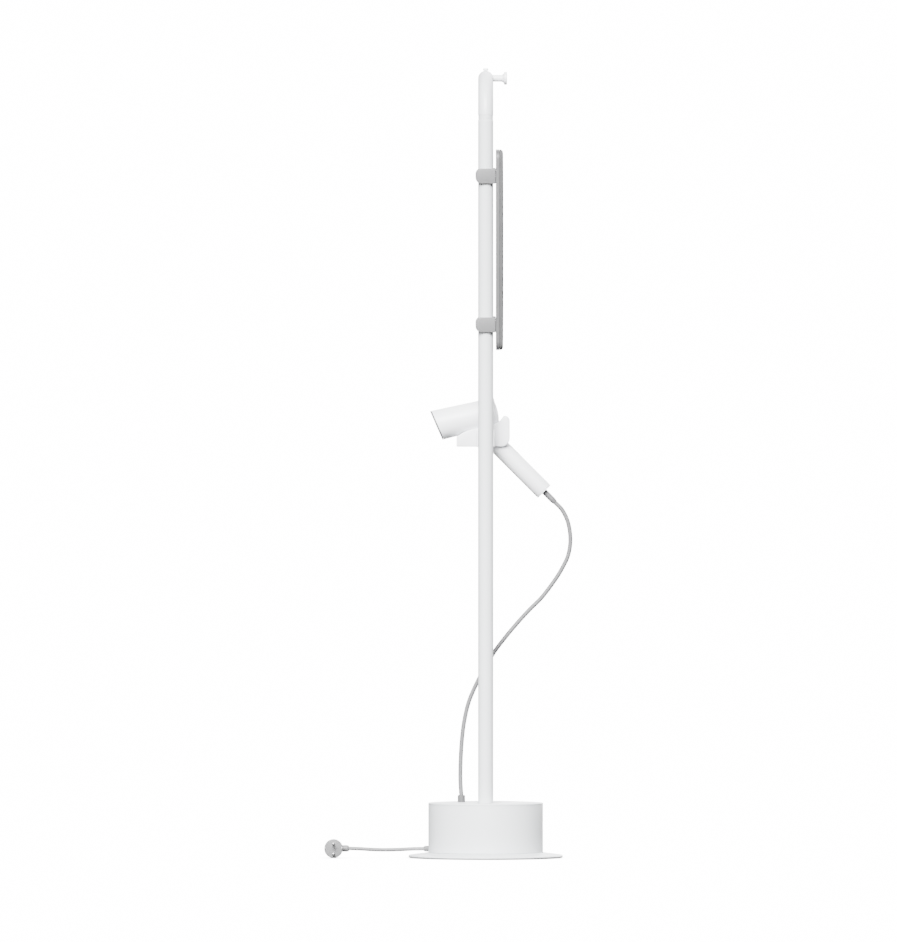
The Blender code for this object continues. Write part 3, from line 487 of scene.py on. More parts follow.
class Shading:
    """A material's node tree, with a Principled shader and object coordinates in metres."""

    def __init__(self, name):
        self.made = bpy.data.materials.new(name)
        self.made.use_nodes = True
        self.tree = self.made.node_tree
        self.shader = self.tree.nodes["Principled BSDF"]
        self.place = self.tree.nodes.new("ShaderNodeTexCoord").outputs["Object"]

    def node(self, kind, out=0, **inputs):
        node = self.tree.nodes.new("ShaderNode" + kind)
        for name, value in inputs.items():
            self.feed(node.inputs[name.replace("_", " ")], value)
        return node.outputs[out]

    def feed(self, socket, value):
        if isinstance(value, bpy.types.NodeSocket):
            self.tree.links.new(value, socket)
        else:
            socket.default_value = value

    def maths(self, operation, first, second=0.0):
        node = self.tree.nodes.new("ShaderNodeMath")
        node.operation = operation
        self.feed(node.inputs[0], first)
        self.feed(node.inputs[1], second)
        return node.outputs[0]

    def stretched(self, factors):
        return self.node("Mapping", Vector=self.place, Scale=factors)

    def noise(self, scale, place=None, detail=3.0):
        return self.node("TexNoise", Vector=place or self.place, Scale=scale, Detail=detail)

    def between(self, value, low, high, start=0.3, end=0.7):
        return self.node("MapRange", Value=value, From_Min=start, From_Max=end, To_Min=low,
            To_Max=high)

    def colour(self, base, spread, pattern):
        """The base colour, made up to spread lighter or darker by the pattern."""
        mix = self.tree.nodes.new("ShaderNodeMix")
        mix.data_type = "RGBA"
        self.feed(mix.inputs["Factor"], self.between(pattern, 0.0, 1.0))
        mix.inputs[6].default_value = (*[min(1.0, c * (1 - spread)) for c in base], 1)
        mix.inputs[7].default_value = (*[min(1.0, c * (1 + spread)) for c in base], 1)
        self.feed(self.shader.inputs["Base Color"], mix.outputs[2])

    def bump(self, height, depth, strength=1.0):
        normal = self.node("Bump", Height=height, Distance=depth, Strength=strength)
        self.feed(self.shader.inputs["Normal"], normal)


def plain(name, base, roughness, spread=0.015, blotch=14.0, grain=1400.0, depth=0.03 * MM,
    metallic=0.0, stretch=None):
    """A moulded, painted or cast surface: soft colour blotches, uneven gloss and a fine grain."""
    look = Shading(name)
    place = look.stretched(stretch) if stretch else None
    look.colour(base, spread, look.noise(blotch))
    look.feed(look.shader.inputs["Roughness"],
        look.between(look.noise(45.0, place), roughness - 0.04, roughness + 0.04))
    look.shader.inputs["Metallic"].default_value = metallic
    look.bump(look.noise(grain, place, 2.0), depth)
    return look


def woven(name, base):
    """A plain weave in the board's plane, with threads 1.1 mm apart."""
    pitch = 1.1 * MM
    look = Shading(name)
    look.colour(base, 0.05, look.noise(60.0))
    look.shader.inputs["Roughness"].default_value = 0.9
    look.shader.inputs["Specular IOR Level"].default_value = 0.15
    split = look.tree.nodes.new("ShaderNodeSeparateXYZ")
    look.feed(split.inputs[0], look.place)
    threads = []
    for axis in ("Y", "Z"):
        wave = look.maths("SINE", look.maths("MULTIPLY", split.outputs[axis], math.pi / pitch))
        threads.append(look.maths("ABSOLUTE", wave))
    cell = look.node("Mapping", Vector=look.place, Scale=(0, 1, 1))
    over = look.node("TexChecker", out=1, Vector=cell, Scale=1 / pitch)
    along, across = threads
    weave = look.maths("ADD", look.maths("MULTIPLY", along, over),
                       look.maths("MULTIPLY", across, look.maths("SUBTRACT", 1.0, over)))
    fuzz = look.maths("MULTIPLY", look.noise(2500.0), 0.3)
    look.bump(look.maths("ADD", weave, fuzz), 0.12 * MM)
    return look


def brushed(name, base, roughness, stretch):
    look = plain(name, base, roughness, 0.03, 30.0, 300.0, 0.02 * MM, 1.0, stretch)
    return look


def glassy(name, base):
    look = plain(name, base, 0.18, 0.02, 20.0, 400.0, 0.01 * MM)
    look.shader.inputs["Transmission Weight"].default_value = 0.5
    return look


def printed_board(name, base):
    """Solder mask with a faint relief of square tracks."""
    look = plain(name, base, 0.35, 0.05, 80.0, 900.0, 0.01 * MM)
    tracks = look.tree.nodes.new("ShaderNodeTexBrick")
    look.feed(tracks.inputs["Vector"], look.stretched((1, 0, 1)))
    tracks.inputs["Scale"].default_value = 160
    tracks.inputs["Mortar Size"].default_value = 0.06
    look.bump(tracks.outputs["Fac"], 0.05 * MM)
    return look


def build_finishes():
    looks = {
        "white_paint": plain("white_paint", (0.70, 0.722, 0.737), 0.36, 0.012, 9.0, 900.0,
        0.03 * MM),
        "base_plastic": plain("base_plastic", (0.70, 0.722, 0.737), 0.42, 0.012, 9.0, 1600.0,
        0.03 * MM),
        "white_plastic": plain("white_plastic", (0.87, 0.88, 0.90), 0.40, 0.010, 12.0, 1800.0,
        0.03 * MM),
        "grey_plastic": plain("grey_plastic", (0.085, 0.085, 0.087), 0.48, 0.03, 25.0, 1500.0,
        0.04 * MM),
        # A lighter copy of the grey plastic: painted light, for the clips' faces that catch the
        # light. The power button takes it too.
        "grey_plastic_painted_lighter": plain("grey_plastic_painted_lighter", (0.135, 0.135, 0.138), 0.45, 0.03, 25.0, 1500.0,
        0.04 * MM),
        "dark_plastic": plain("dark_plastic", (0.04, 0.04, 0.042), 0.50, 0.05, 40.0, 1500.0,
        0.04 * MM),
        "relief_plastic": plain("relief_plastic", (0.115, 0.115, 0.118), 0.50, 0.05, 40.0, 1500.0,
        0.04 * MM),
        "hose_grey": plain("hose_grey", (0.135, 0.135, 0.138), 0.45, 0.04, 30.0, 1200.0, 0.04 * MM),
        "cord_grey": plain("cord_grey", (0.17, 0.17, 0.173), 0.50, 0.04, 30.0, 1200.0, 0.04 * MM),
        "plug_grey": plain("plug_grey", (0.14, 0.14, 0.143), 0.50, 0.04, 30.0, 1200.0, 0.05 * MM),
        "foot_rubber": plain("foot_rubber", (0.05, 0.05, 0.05), 0.85, 0.10, 40.0, 900.0, 0.06 * MM),
        "cast_aluminium": plain("cast_aluminium", (0.55, 0.55, 0.56), 0.50, 0.05, 40.0, 500.0,
        0.08 * MM, 1.0),
        "steel": brushed("steel", (0.62, 0.62, 0.63), 0.32, (1, 1, 8)),
        "pin_metal": brushed("pin_metal", (0.50, 0.50, 0.50), 0.28, (1, 8, 1)),
        "clear_plastic": glassy("clear_plastic", (0.70, 0.78, 0.84)),
        "circuit_green": printed_board("circuit_green", (0.05, 0.25, 0.12)),
        "board_fabric": woven("board_fabric", (0.105, 0.105, 0.107)),
    }
    return {name: look.made for name, look in looks.items()}


def finish_inner_nodes():
    """Gives the CAD nodes that still show, most of them inside, the finish of their slot."""
    for part in frame["record"]["subparts"]:
        node = frame["nodes"][part["node"]]
        if node.hide_render:
            continue
        node.data.materials.clear()
        node.data.materials.append(FINISHES[part["material_slot"]])
        weld = node.modifiers.new("weld", "WELD")
        weld.merge_threshold = 0.001 * MM
        edges = node.modifiers.new("soft edges", "BEVEL")
        edges.width = 0.3 * MM
        edges.segments = 2
        edges.limit_method = "ANGLE"
        edges.angle_limit = math.radians(35)
        node.data.shade_smooth()
        node.data.set_sharp_from_angle(angle=math.radians(35))


# ---------------------------------------------------------------- hose, cord and plug


def build_hose():
    path = smooth_route(HOSE_ROUTE, 2.5 * MM)
    hose = tube("hose", path, HOSE_RADIUS)
    hose.data.materials.append(FINISHES["hose_grey"])
    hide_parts("steam_hose")
    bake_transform(hose)


def plug_clip(side, sign):
    """A sprung earth contact, let into the plug's rim."""
    face = PLUG_FACE
    outline = filleted([
        (15.0 * MM, face + 1.2 * MM), (16.6 * MM, face + 1.2 * MM, 0.5 * MM),
        (16.9 * MM, face + 5 * MM, 3 * MM),
        (16.2 * MM, face + 15 * MM), (15.0 * MM, face + 15 * MM),
    ])
    half = 2.6 * MM
    points = [(PLUG_X + sign * out, along, PLUG_Z - half) for out, along in outline]
    clip = prism(f"plug_earth_clip_{side}", points, (0, 0, 2 * half))
    return show(soften(clip, 0.25 * MM, 2, 50), STAND, "pin_metal")


def build_plug():
    body = lathe("plug_body_fine", [
        (0, PLUG_FACE), (PLUG_RADIUS, PLUG_FACE, 1.0 * MM), (PLUG_RADIUS, PLUG_BACK, 3 * MM),
        (0, PLUG_BACK),
    ], at=(PLUG_X, 0, PLUG_Z), facing=ALONG_Y, steps=72)
    reach = 12 * MM
    corner_x = PLUG_X - PLUG_RADIUS
    wedge = prism("plug_wedge", [
        (corner_x - reach, PLUG_BACK - PLUG_CHAMFER - reach, -0.02),
        (corner_x + PLUG_CHAMFER + reach, PLUG_BACK + reach, -0.02),
        (corner_x - reach, PLUG_BACK + reach, -0.02),
    ], (0, 0, 0.08))
    spans = []
    for sign in (1, -1):
        near, far = sorted((PLUG_X + sign * 14.9 * MM, PLUG_X + sign * 22 * MM))
        spans.append(((near, PLUG_FACE - 1 * MM, PLUG_Z - 3.2 * MM),
            (far, PLUG_FACE + 15.6 * MM, PLUG_Z + 3.2 * MM)))
    grooves = boxes("plug_grooves", spans)
    carve(body, wedge, grooves)
    soften(body, 0.7 * MM, 3, 30)
    bell = lathe("plug_sleeve", [
        (0, PLUG_X + 8 * MM), (SLEEVE_RADIUS, PLUG_X + 8 * MM),
        (SLEEVE_RADIUS, SLEEVE_END - 4 * MM, 1.0 * MM),
        (SLEEVE_RADIUS - 1.2 * MM, SLEEVE_END, 0.8 * MM), (CORD_RADIUS + 0.1 * MM, SLEEVE_END),
        (CORD_RADIUS + 0.1 * MM, SLEEVE_END - 3.5 * MM), (0, SLEEVE_END - 3.5 * MM),
    ], at=(0, 0, PLUG_Z), facing=ALONG_X, steps=48)
    combine(body, "UNION", bell)
    body.data.set_sharp_from_angle(angle=math.radians(35))
    show(body, STAND, "plug_grey", "plug_body")
    pieces = [body]
    for name, sign in (("upper", 1), ("lower", -1)):
        pin = lathe(f"pin_{name}", [
            (0, -1 * MM), (PIN_RADIUS, -1 * MM), (PIN_RADIUS, PIN_LENGTH, 1.4 * MM),
            (0, PIN_LENGTH),
        ], at=(PLUG_X, PLUG_FACE, PLUG_Z + sign * PIN_SPACING / 2), facing=-ALONG_Y, steps=40)
        pieces.append(show(pin, STAND, "pin_metal", f"plug_pin_{name}"))
    return pieces + [plug_clip("inner", 1), plug_clip("outer", -1)]


def build_mains_cord():
    path = smooth_route(CORD_ROUTE, 2.5 * MM)
    cord = tube("mains_flex", path, CORD_RADIUS)
    show(cord, STAND, "cord_grey", "mains_cord")
    pieces = build_plug()


# ---------------------------------------------------------------- arched tube frame and peg


def build_legs():
    for side, sign in SIDES:
        top = BOW_START - GAP
        leg = lathe(f"leg_{side}_tube", [
            (TUBE_BORE, LEG_FOOT), (TUBE_RADIUS, LEG_FOOT), (TUBE_RADIUS, top - JOINT_BAND),
            (TUBE_RADIUS - JOINT_STEP, top - JOINT_BAND + JOINT_STEP),
            (TUBE_RADIUS - JOINT_STEP, top, 0.3 * MM),
            (TUBE_BORE, top),
        ], at=(0, sign * LEG_OFFSET, 0), steps=72)
        show(leg, STAND, "white_paint", f"leg_{side}")


def build_bow():
    """The half-round tube, with a wall, whose two ends carry the same shallow band as the legs."""
    sides, steps = 64, 96
    step = JOINT_BAND / LEG_OFFSET
    lip = JOINT_STEP / LEG_OFFSET
    turns = [0.0, step, step + lip]
    turns += [step + lip + (math.pi - 2 * (step + lip)) * i / steps for i in range(1, steps)]
    turns += [math.pi - step - lip, math.pi - step, math.pi]
    bm = bmesh.new()
    loops = []
    for wall in (False, True):
        for i, turn in enumerate(turns if not wall else reversed(turns)):
            banded = min(turn, math.pi - turn) <= step + 1e-9
            radius = TUBE_BORE if wall else TUBE_RADIUS - (JOINT_STEP if banded else 0)
            outward = Vector((0, math.cos(turn), math.sin(turn)))
            centre = Vector((0, 0, BOW_START)) + outward * LEG_OFFSET
            loops.append([
                bm.verts.new(centre + (outward * math.cos(a) + ALONG_X * math.sin(a)) * radius)
                for a in (math.tau * k / sides for k in range(sides))
            ])
    for ring, following in zip(loops, loops[1:] + loops[:1]):
        for k in range(sides):
            m = (k + 1) % sides
            bm.faces.new((ring[k], ring[m], following[m], following[k]))
    bow = linked("bow_tube", bm)
    hole = lathe("bow_hole", [(0, 0), (PEG_RADIUS + GAP, 0), (PEG_RADIUS + GAP, 0.03), (0, 0.03)],
                 at=(0, 0, APEX), facing=ALONG_X, steps=48)
    tapped = lathe("bow_tapped", [(0, 0), (2.8 * MM, 0), (2.8 * MM, 0.03), (0, 0.03)],
        at=(0, 0, APEX), steps=32)
    carve(bow, hole, tapped)
    show(bow, STAND, "white_paint", "top_bow")


PEG_RADIUS = 6.25 * MM
PEG_TIP = 39.6 * MM
PEG_DISC_RADIUS = 12 * MM


def build_peg():
    peg = lathe("peg_turned", [
        (0, 1 * MM), (PEG_RADIUS, 1 * MM, 0.5 * MM), (PEG_RADIUS, 30 * MM, 4 * MM),
        (PEG_RADIUS + 1.8 * MM, 32.8 * MM, 2 * MM), (PEG_DISC_RADIUS, 34.6 * MM, 1.6 * MM),
        (PEG_DISC_RADIUS, PEG_TIP, 1.8 * MM), (0, PEG_TIP),
    ], at=(0, 0, APEX), facing=ALONG_X, steps=80)
    show(peg, STAND, "white_plastic", "hanger_peg")
    seat = APEX + TUBE_RADIUS + GAP
    top = seat + 4.2 * MM
    cap = 4.8 * MM
    screw = lathe("peg_screw_cap", [
        (0, APEX + 7 * MM), (2.5 * MM, APEX + 7 * MM), (2.5 * MM, seat), (cap, seat, 0.3 * MM),
        (cap, top, 1.2 * MM),
        (2.2 * MM, top, 0.3 * MM), (2.0 * MM, top - 2 * MM), (0, top - 2 * MM),
    ], steps=48)
    show(screw, STAND, "white_plastic", "peg_lock_screw")


# ---------------------------------------------------------------- pressing board


def rounded_rectangle(inset, steps=10):
    radius = BOARD_CORNER - inset
    half = BOARD_HALF_WIDTH - BOARD_CORNER
    low, high = BOARD_LOW + BOARD_CORNER, BOARD_HIGH - BOARD_CORNER
    corners = [((half, high), 0), ((-half, high), 90), ((-half, low), 180), ((half, low), 270)]
    return [point for centre, turn in corners for point in arc(centre, radius, turn, turn + 90,
        steps)]


def build_tray():
    """The moulded back: a shallow tray with ribs, and a solid land behind each clip."""
    outline = [(BOARD_BACK, y, z) for y, z in rounded_rectangle(0)]
    tray = soften(prism("tray_moulding", outline, (BOARD_SEAM - BOARD_BACK, 0, 0)), 0.8 * MM, 3, 60)
    low_x, high_x = BOARD_BACK - 5 * MM, BOARD_BACK + 4.2 * MM
    columns = [(-99, -53), (-51, -1), (1, 51), (53, 99)]
    rows = [(1008, 1065), (1067, 1125.5), (1127.5, 1186), (1188, 1245)]
    pockets = [(column, row) for column in columns for row in rows]
    pockets += [(column, row) for column in columns[1:3] for row in ((972, 1006), (1247.5, 1282))]
    pockets += [(column, row) for column in columns for row in ((950, 970), (1284, 1305))]
    spans = [((low_x, a * MM, c * MM), (high_x, b * MM, d * MM)) for (a, b), (c, d) in pockets]
    cutter = soften(boxes("tray_pockets", spans), 1.6 * MM, 3, 60)
    wells = []
    for z in CLIP_HEIGHTS.values():
        for _, sign in SIDES:
            y = sign * (LEG_OFFSET - 12 * MM)
            wells.append(lathe(f"tray_well_{len(wells)}", [
                (0, 0), (4.2 * MM, 0), (4.2 * MM, 0.8 * MM), (2 * MM, 3 * MM), (2 * MM, 12 * MM),
                (0, 12 * MM),
            ], at=(BOARD_SEAM + 0.1 * MM, y, z), facing=-ALONG_X, steps=24))
    carve(tray, cutter, *wells)
    tray.data.set_sharp_from_angle(angle=math.radians(35))
    show(tray, BOARD, "grey_plastic", "board_tray")


def build_pad():
    """The covered pad: a round front edge, then a slight crown to the middle."""
    back = BOARD_SEAM + GAP
    edge = 6 * MM
    crown = 0.6 * MM
    depth = BOARD_FRONT - crown - back
    rings = [(0.6 * MM, back), (0.0, back + 0.6 * MM)]
    for i in range(1, 11):
        turn = math.radians(9 * i)
        rings.append((edge * (1 - math.cos(turn)), back + depth - edge * (1 - math.sin(turn))))
    bm = bmesh.new()
    loops = [[bm.verts.new((x, y, z)) for y, z in rounded_rectangle(inset)] for inset, x in rings]
    middle = (BOARD_LOW + BOARD_HIGH) / 2
    for k in range(1, 13):
        shrink = 1 - k / 13
        x = back + depth + crown * (1 - shrink**3)
        loops.append([
            bm.verts.new((x, y * shrink, middle + (z - middle) * shrink)) for y,
            z in rounded_rectangle(edge)
        ])
    for ring, following in zip(loops, loops[1:]):
        for k in range(len(ring)):
            m = (k + 1) % len(ring)
            bm.faces.new((ring[k], ring[m], following[m], following[k]))
    bm.faces.new(loops[0])
    bm.faces.new(loops[-1])
    pad = show(linked("pad_cover", bm, 50), BOARD, "board_fabric", "board_pad")


def build_clips():
    for level, z in CLIP_HEIGHTS.items():
        for side, sign in SIDES:
            y = sign * LEG_OFFSET
            front = BOARD_BACK - GAP
            outline = filleted([
                (front, z + CLIP_HALF_HEIGHT), (CLIP_BACK, z + CLIP_HALF_HEIGHT, 11.5 * MM),
                (CLIP_BACK, z - CLIP_HALF_HEIGHT, 11.5 * MM), (front, z - CLIP_HALF_HEIGHT),
            ], steps=14)
            clip = prism(f"clip_{level}_{side}_moulding",
                [(x, y - CLIP_HALF_WIDTH, h) for x, h in outline],
                         (0, 2 * CLIP_HALF_WIDTH, 0))
            soften(clip, 1.4 * MM, 4, 50)
            reach = CLIP_HALF_HEIGHT + 3 * MM
            bore = TUBE_RADIUS + GAP
            core = lathe("clip_core", [
                (0, z - reach), (bore + 4 * MM, z - reach), (bore, z - CLIP_HALF_HEIGHT + 1 * MM),
                (bore, z + CLIP_HALF_HEIGHT - 1 * MM), (bore + 4 * MM, z + reach), (0, z + reach),
            ], at=(0, y, 0), steps=64)
            hole = lathe("clip_hole", [(0, 0), (2 * MM, 0), (2 * MM, 12 * MM), (0, 12 * MM)],
                         at=(10 * MM, y - sign * 12 * MM, z), facing=ALONG_X, steps=24)
            carve(clip, core, hole)
            clip.data.set_sharp_from_angle(angle=math.radians(35))
            # The clips take the lighter copy of the grey plastic: painted light.
            show(clip, BOARD, "grey_plastic_painted_lighter", f"clip_{level}_{side}", slot="grey_plastic")


# ---------------------------------------------------------------- fork


def barrel_cone(name, extra):
    return lathe(name, [
        (0, -extra), (BARREL_REAR_RADIUS + extra, -extra),
        (BARREL_MOUTH_RADIUS + extra, BARREL_LENGTH),
        (0, BARREL_LENGTH),
    ], at=BARREL_REAR, facing=BARREL_DIRECTION, steps=128)


def cross_head(name, head, shank, depth, length, at, facing):
    """A countersunk screw with a cross recess."""
    screw = lathe(name, [
        (0, 0), (head, 0, 0.3 * MM), (head, depth * 0.4), (shank, depth), (shank, length, 0.5 * MM),
        (0, length),
    ], at=at, facing=facing, steps=32)
    reach, half, deep = head * 0.6, head * 0.13, depth * 0.6
    bars = [boxes("bar", [((-x, -y, -1 * MM), (x, y, deep))]) for x,
        y in ((reach, half), (half, reach))]
    for bar in bars:
        bar.data.transform(place_matrix(at, facing))
    return carve(screw, *bars)


def build_fork():
    lobe = 9 * MM
    outline = filleted([
        (FORK_BACK, 780.7 * MM), (FORK_BACK, FORK_LOW, 2 * MM), (FORK_FRONT, FORK_LOW, 16 * MM),
        *arc((FORK_FRONT - lobe, 810.2 * MM), lobe, 0, 100),
        (25.7 * MM, 809.4 * MM), (14.2 * MM, 804.2 * MM), (-14.2 * MM, 797.8 * MM),
        (-34.6 * MM, 792.2 * MM, 20 * MM), (-44.8 * MM, 787.2 * MM, 20 * MM),
    ], steps=12)
    fork = prism("fork_moulding", [(x, -FORK_HALF_WIDTH, z) for x, z in outline],
        (0, 2 * FORK_HALF_WIDTH, 0))
    soften(fork, 2 * MM, 4, 50)
    inner = FORK_HALF_WIDTH - 1 * MM
    arms = []
    for side, sign in SIDES:
        low, high = sorted((sign * inner, sign * LEG_OFFSET))
        arms.append(soften(boxes(f"fork_arm_{side}",
            [((ARM_BACK, low, FORK_LOW), (ARM_FRONT, high, ARM_HIGH))]),
                           1.8 * MM, 4, 50))
    combine(fork, "UNION", *arms)
    tools = [
        boxes("fork_slot", [((FORK_WEB_INNER, -FORK_HALF_GAP, 0.75), (0.06, FORK_HALF_GAP, 0.84))]),
        barrel_cone("fork_seat", 0.4 * MM),
    ]
    for side, sign in SIDES:
        bore = TUBE_RADIUS + GAP
        tools.append(lathe(f"fork_leg_{side}", [(0, 0.74), (bore, 0.74), (bore, 0.82), (0, 0.82)],
                           at=(0, sign * LEG_OFFSET, 0), steps=72))
        tools.append(lathe(f"fork_well_{side}", [
            (0, 0), (4.8 * MM, 0), (4.8 * MM, 1.2 * MM), (3.2 * MM, 2.8 * MM), (3.2 * MM, 60 * MM),
            (0, 60 * MM),
        ], at=(0, sign * (FORK_HALF_GAP - 0.1 * MM), ARM_SCREW_HEIGHT), facing=(0, sign, 0),
        steps=32))
        screw = cross_head(f"fork_screw_{side}_cross", 4.4 * MM, 2.4 * MM, 2.8 * MM, 48 * MM,
                           (0, sign * (FORK_HALF_GAP + 0.4 * MM), ARM_SCREW_HEIGHT), (0, sign, 0))
        show(screw, STAND, "steel", f"fork_screw_{side}")
    carve(fork, *tools)
    fork.data.set_sharp_from_angle(angle=math.radians(35))
    show(fork, STAND, "white_plastic", "hand_piece_fork")


# ---------------------------------------------------------------- hand piece


def barrel_radius(along):
    return BARREL_REAR_RADIUS + (BARREL_MOUTH_RADIUS - BARREL_REAR_RADIUS) * along / BARREL_LENGTH


def on_barrel(name, profile, steps=112):
    """Turned about the barrel's axis. What lies past its middle is tipped into the mouth's plane."""
    def tip(co):
        if co.z > BARREL_LENGTH / 2:
            co.z += MOUTH_SLANT * co.x
        return co

    return lathe(name, profile, at=BARREL_REAR, facing=BARREL_DIRECTION, steps=steps, bend=tip)


def build_barrel():
    seam = BARREL_LENGTH - MOUTH_RING_DEPTH
    rear = REAR_CAP_DEPTH + GAP
    shell = on_barrel("barrel_moulding", [
        (barrel_radius(rear) - BARREL_WALL, rear), (barrel_radius(rear), rear, 0.3 * MM),
        (barrel_radius(seam), seam - GAP, 0.3 * MM),
        (barrel_radius(seam) - BARREL_WALL, seam - GAP),
    ])
    hole = lathe("barrel_hole", [(0, 0), (11 * MM, 0), (11 * MM, 60 * MM), (0, 60 * MM)],
                 at=HANDLE_TOP, facing=HANDLE_DIRECTION, steps=48)
    carve(shell, hole)
    show(shell, HAND_PIECE, "white_plastic", "barrel_shell")
    mouth = BARREL_MOUTH_RADIUS
    ring = on_barrel("mouth_seal", [
        (mouth - 5 * MM, seam), (mouth, seam, 0.4 * MM), (mouth, BARREL_LENGTH, 1.1 * MM),
        (mouth - 2.4 * MM, BARREL_LENGTH, 0.3 * MM),
        (mouth - 2.8 * MM, BARREL_LENGTH - 0.6 * MM, 0.3 * MM),
        (mouth - 3.2 * MM, BARREL_LENGTH, 0.3 * MM), (mouth - 5 * MM, BARREL_LENGTH, 0.9 * MM),
    ])
    show(ring, HAND_PIECE, "dark_plastic", "mouth_ring")
    plate = on_barrel("steam_plate_fine", [
        (0, seam - 3.5 * MM), (mouth - 3.2 * MM, seam - 3.5 * MM), (mouth - 3.2 * MM, seam - GAP),
        (mouth - 5.6 * MM, seam - GAP, 0.4 * MM), (mouth - 6.2 * MM, seam - 0.9 * MM, 0.4 * MM),
        (mouth - 6.8 * MM, seam - GAP, 0.4 * MM), (0, seam - GAP),
    ], steps=109)
    across = BARREL_DIRECTION.cross(LIFT_DIRECTION)
    start = BARREL_REAR + BARREL_DIRECTION * (BARREL_LENGTH - 16 * MM)
    holes = []
    for i in range(8):
        turn = math.tau * i / 8
        offset = (LIFT_DIRECTION * math.cos(turn) + across * math.sin(turn)) * 14 * MM
        holes.append(lathe(f"steam_hole_{i}",
            [(0, 0), (1.8 * MM, 0), (1.8 * MM, 30 * MM), (0, 30 * MM)],
                           at=start + offset, facing=BARREL_DIRECTION, steps=24))
    carve(plate, *holes)
    show(plate, HAND_PIECE, "steel", "steam_plate")
    radius = barrel_radius(0)
    cap = on_barrel("rear_cap_fine", [
        (0, -1.8 * MM), (6 * MM, -1.6 * MM), (11 * MM, -1.1 * MM), (15 * MM, -0.5 * MM),
        (18.5 * MM, -0.1 * MM),
        (radius, 0.2 * MM, 1.7 * MM), (radius, REAR_CAP_DEPTH, 0.3 * MM),
        (radius - BARREL_WALL - GAP, REAR_CAP_DEPTH),
        (radius - BARREL_WALL - GAP, 8 * MM), (0, 8 * MM),
    ])
    show(cap, HAND_PIECE, "white_plastic", "rear_cap")


def on_handle(name, profile, steps=72):
    return lathe(name, profile, at=HANDLE_TOP, facing=HANDLE_DIRECTION, steps=steps)


def button_outline(name, extra):
    """A round-ended prism through the handle's upper wall."""
    length, width = 13 * MM + extra, 5.5 * MM + extra
    ends = arc((length - width, 0), width, -90, 90) + arc((width - length, 0), width, 90, 270)
    middle = HANDLE_TOP + HANDLE_DIRECTION * BUTTON_PLACE + HANDLE_UP * 6 * MM
    outline = [middle + HANDLE_DIRECTION * along + ALONG_Y * across for along, across in ends]
    return prism(name, outline, HANDLE_UP * 20 * MM)


def handle_strip(name, low, high, half, start, end):
    """A thin bar along the handle, from low to high above its axis."""
    strip = boxes(name, [((start, -half, low), (end, half, high))])
    turn = Matrix((HANDLE_DIRECTION, ALONG_Y, HANDLE_UP)).transposed().to_4x4()
    strip.data.transform(Matrix.Translation(HANDLE_TOP) @ turn)
    return strip


def build_handle():
    cap_start = HANDLE_LENGTH - HANDLE_CAP_DEPTH
    shell = on_handle("handle_moulding", [
        (HANDLE_BORE, 0), (HANDLE_RADIUS, 0), (HANDLE_RADIUS, cap_start - GAP, 0.3 * MM),
        (HANDLE_BORE, cap_start - GAP),
    ])
    outer, groove = HANDLE_RADIUS + 1 * MM, HANDLE_RADIUS - 0.35 * MM
    past = HANDLE_LENGTH + 1 * MM
    carve(
        shell, handle_strip("groove_below", -outer, -groove, 0.2 * MM, -1 * MM, past),
        handle_strip("groove_above", groove, outer, 0.2 * MM, -1 * MM, past),
        button_outline("handle_slot", GAP), barrel_cone("handle_saddle", GAP),
    )
    shell.data.set_sharp_from_angle(angle=math.radians(35))
    show(shell, HAND_PIECE, "white_plastic", "handle_shell")
    cap = on_handle("handle_cap_fine", [
        (4.3 * MM, cap_start), (HANDLE_RADIUS, cap_start, 0.3 * MM),
        (HANDLE_RADIUS, HANDLE_LENGTH, 1.0 * MM),
        (RELIEF_RADIUS + 0.6 * MM, HANDLE_LENGTH, 0.3 * MM),
        (RELIEF_RADIUS + 0.3 * MM, HANDLE_LENGTH - 0.4 * MM),
        (4.3 * MM, HANDLE_LENGTH - 0.4 * MM),
    ])
    show(cap, HAND_PIECE, "white_plastic", "handle_end_cap")
    low, end = HANDLE_LENGTH + GAP, HANDLE_LENGTH + RELIEF_LENGTH
    inner = HOSE_RADIUS + 0.1 * MM
    relief = on_handle("hose_relief_fine", [
        (0, 186 * MM), (4 * MM, 186 * MM), (4 * MM, low - 0.6 * MM),
        (RELIEF_RADIUS, low - 0.6 * MM, 0.3 * MM),
        (RELIEF_RADIUS, end - 7 * MM, 3 * MM), (RELIEF_RADIUS - 0.9 * MM, end, 0.4 * MM),
        (inner, end),
        (inner, end - 4 * MM), (0, end - 4 * MM),
    ], steps=56)
    show(relief, HAND_PIECE, "relief_plastic", "hose_relief", slot="dark_plastic")
    button = on_handle("steam_button_fine", [
        (12.6 * MM, 88 * MM), (HANDLE_RADIUS, 88 * MM), (HANDLE_RADIUS, 122 * MM),
        (12.6 * MM, 122 * MM),
    ])
    combine(button, "INTERSECT", button_outline("button_shape", 0))
    ribs = [
        handle_strip(f"button_rib_{i}", HANDLE_RADIUS - 0.9 * MM, outer, 3.4 * MM,
                     BUTTON_PLACE + (along - 0.45) * MM, BUTTON_PLACE + (along + 0.45) * MM)
        for i, along in enumerate((-4, -2, 0, 2, 4))
    ]
    carve(button, *ribs)
    soften(button, 0.2 * MM, 2, 40)
    show(button, "trigger", "grey_plastic", "steam_button")


# ---------------------------------------------------------------- base


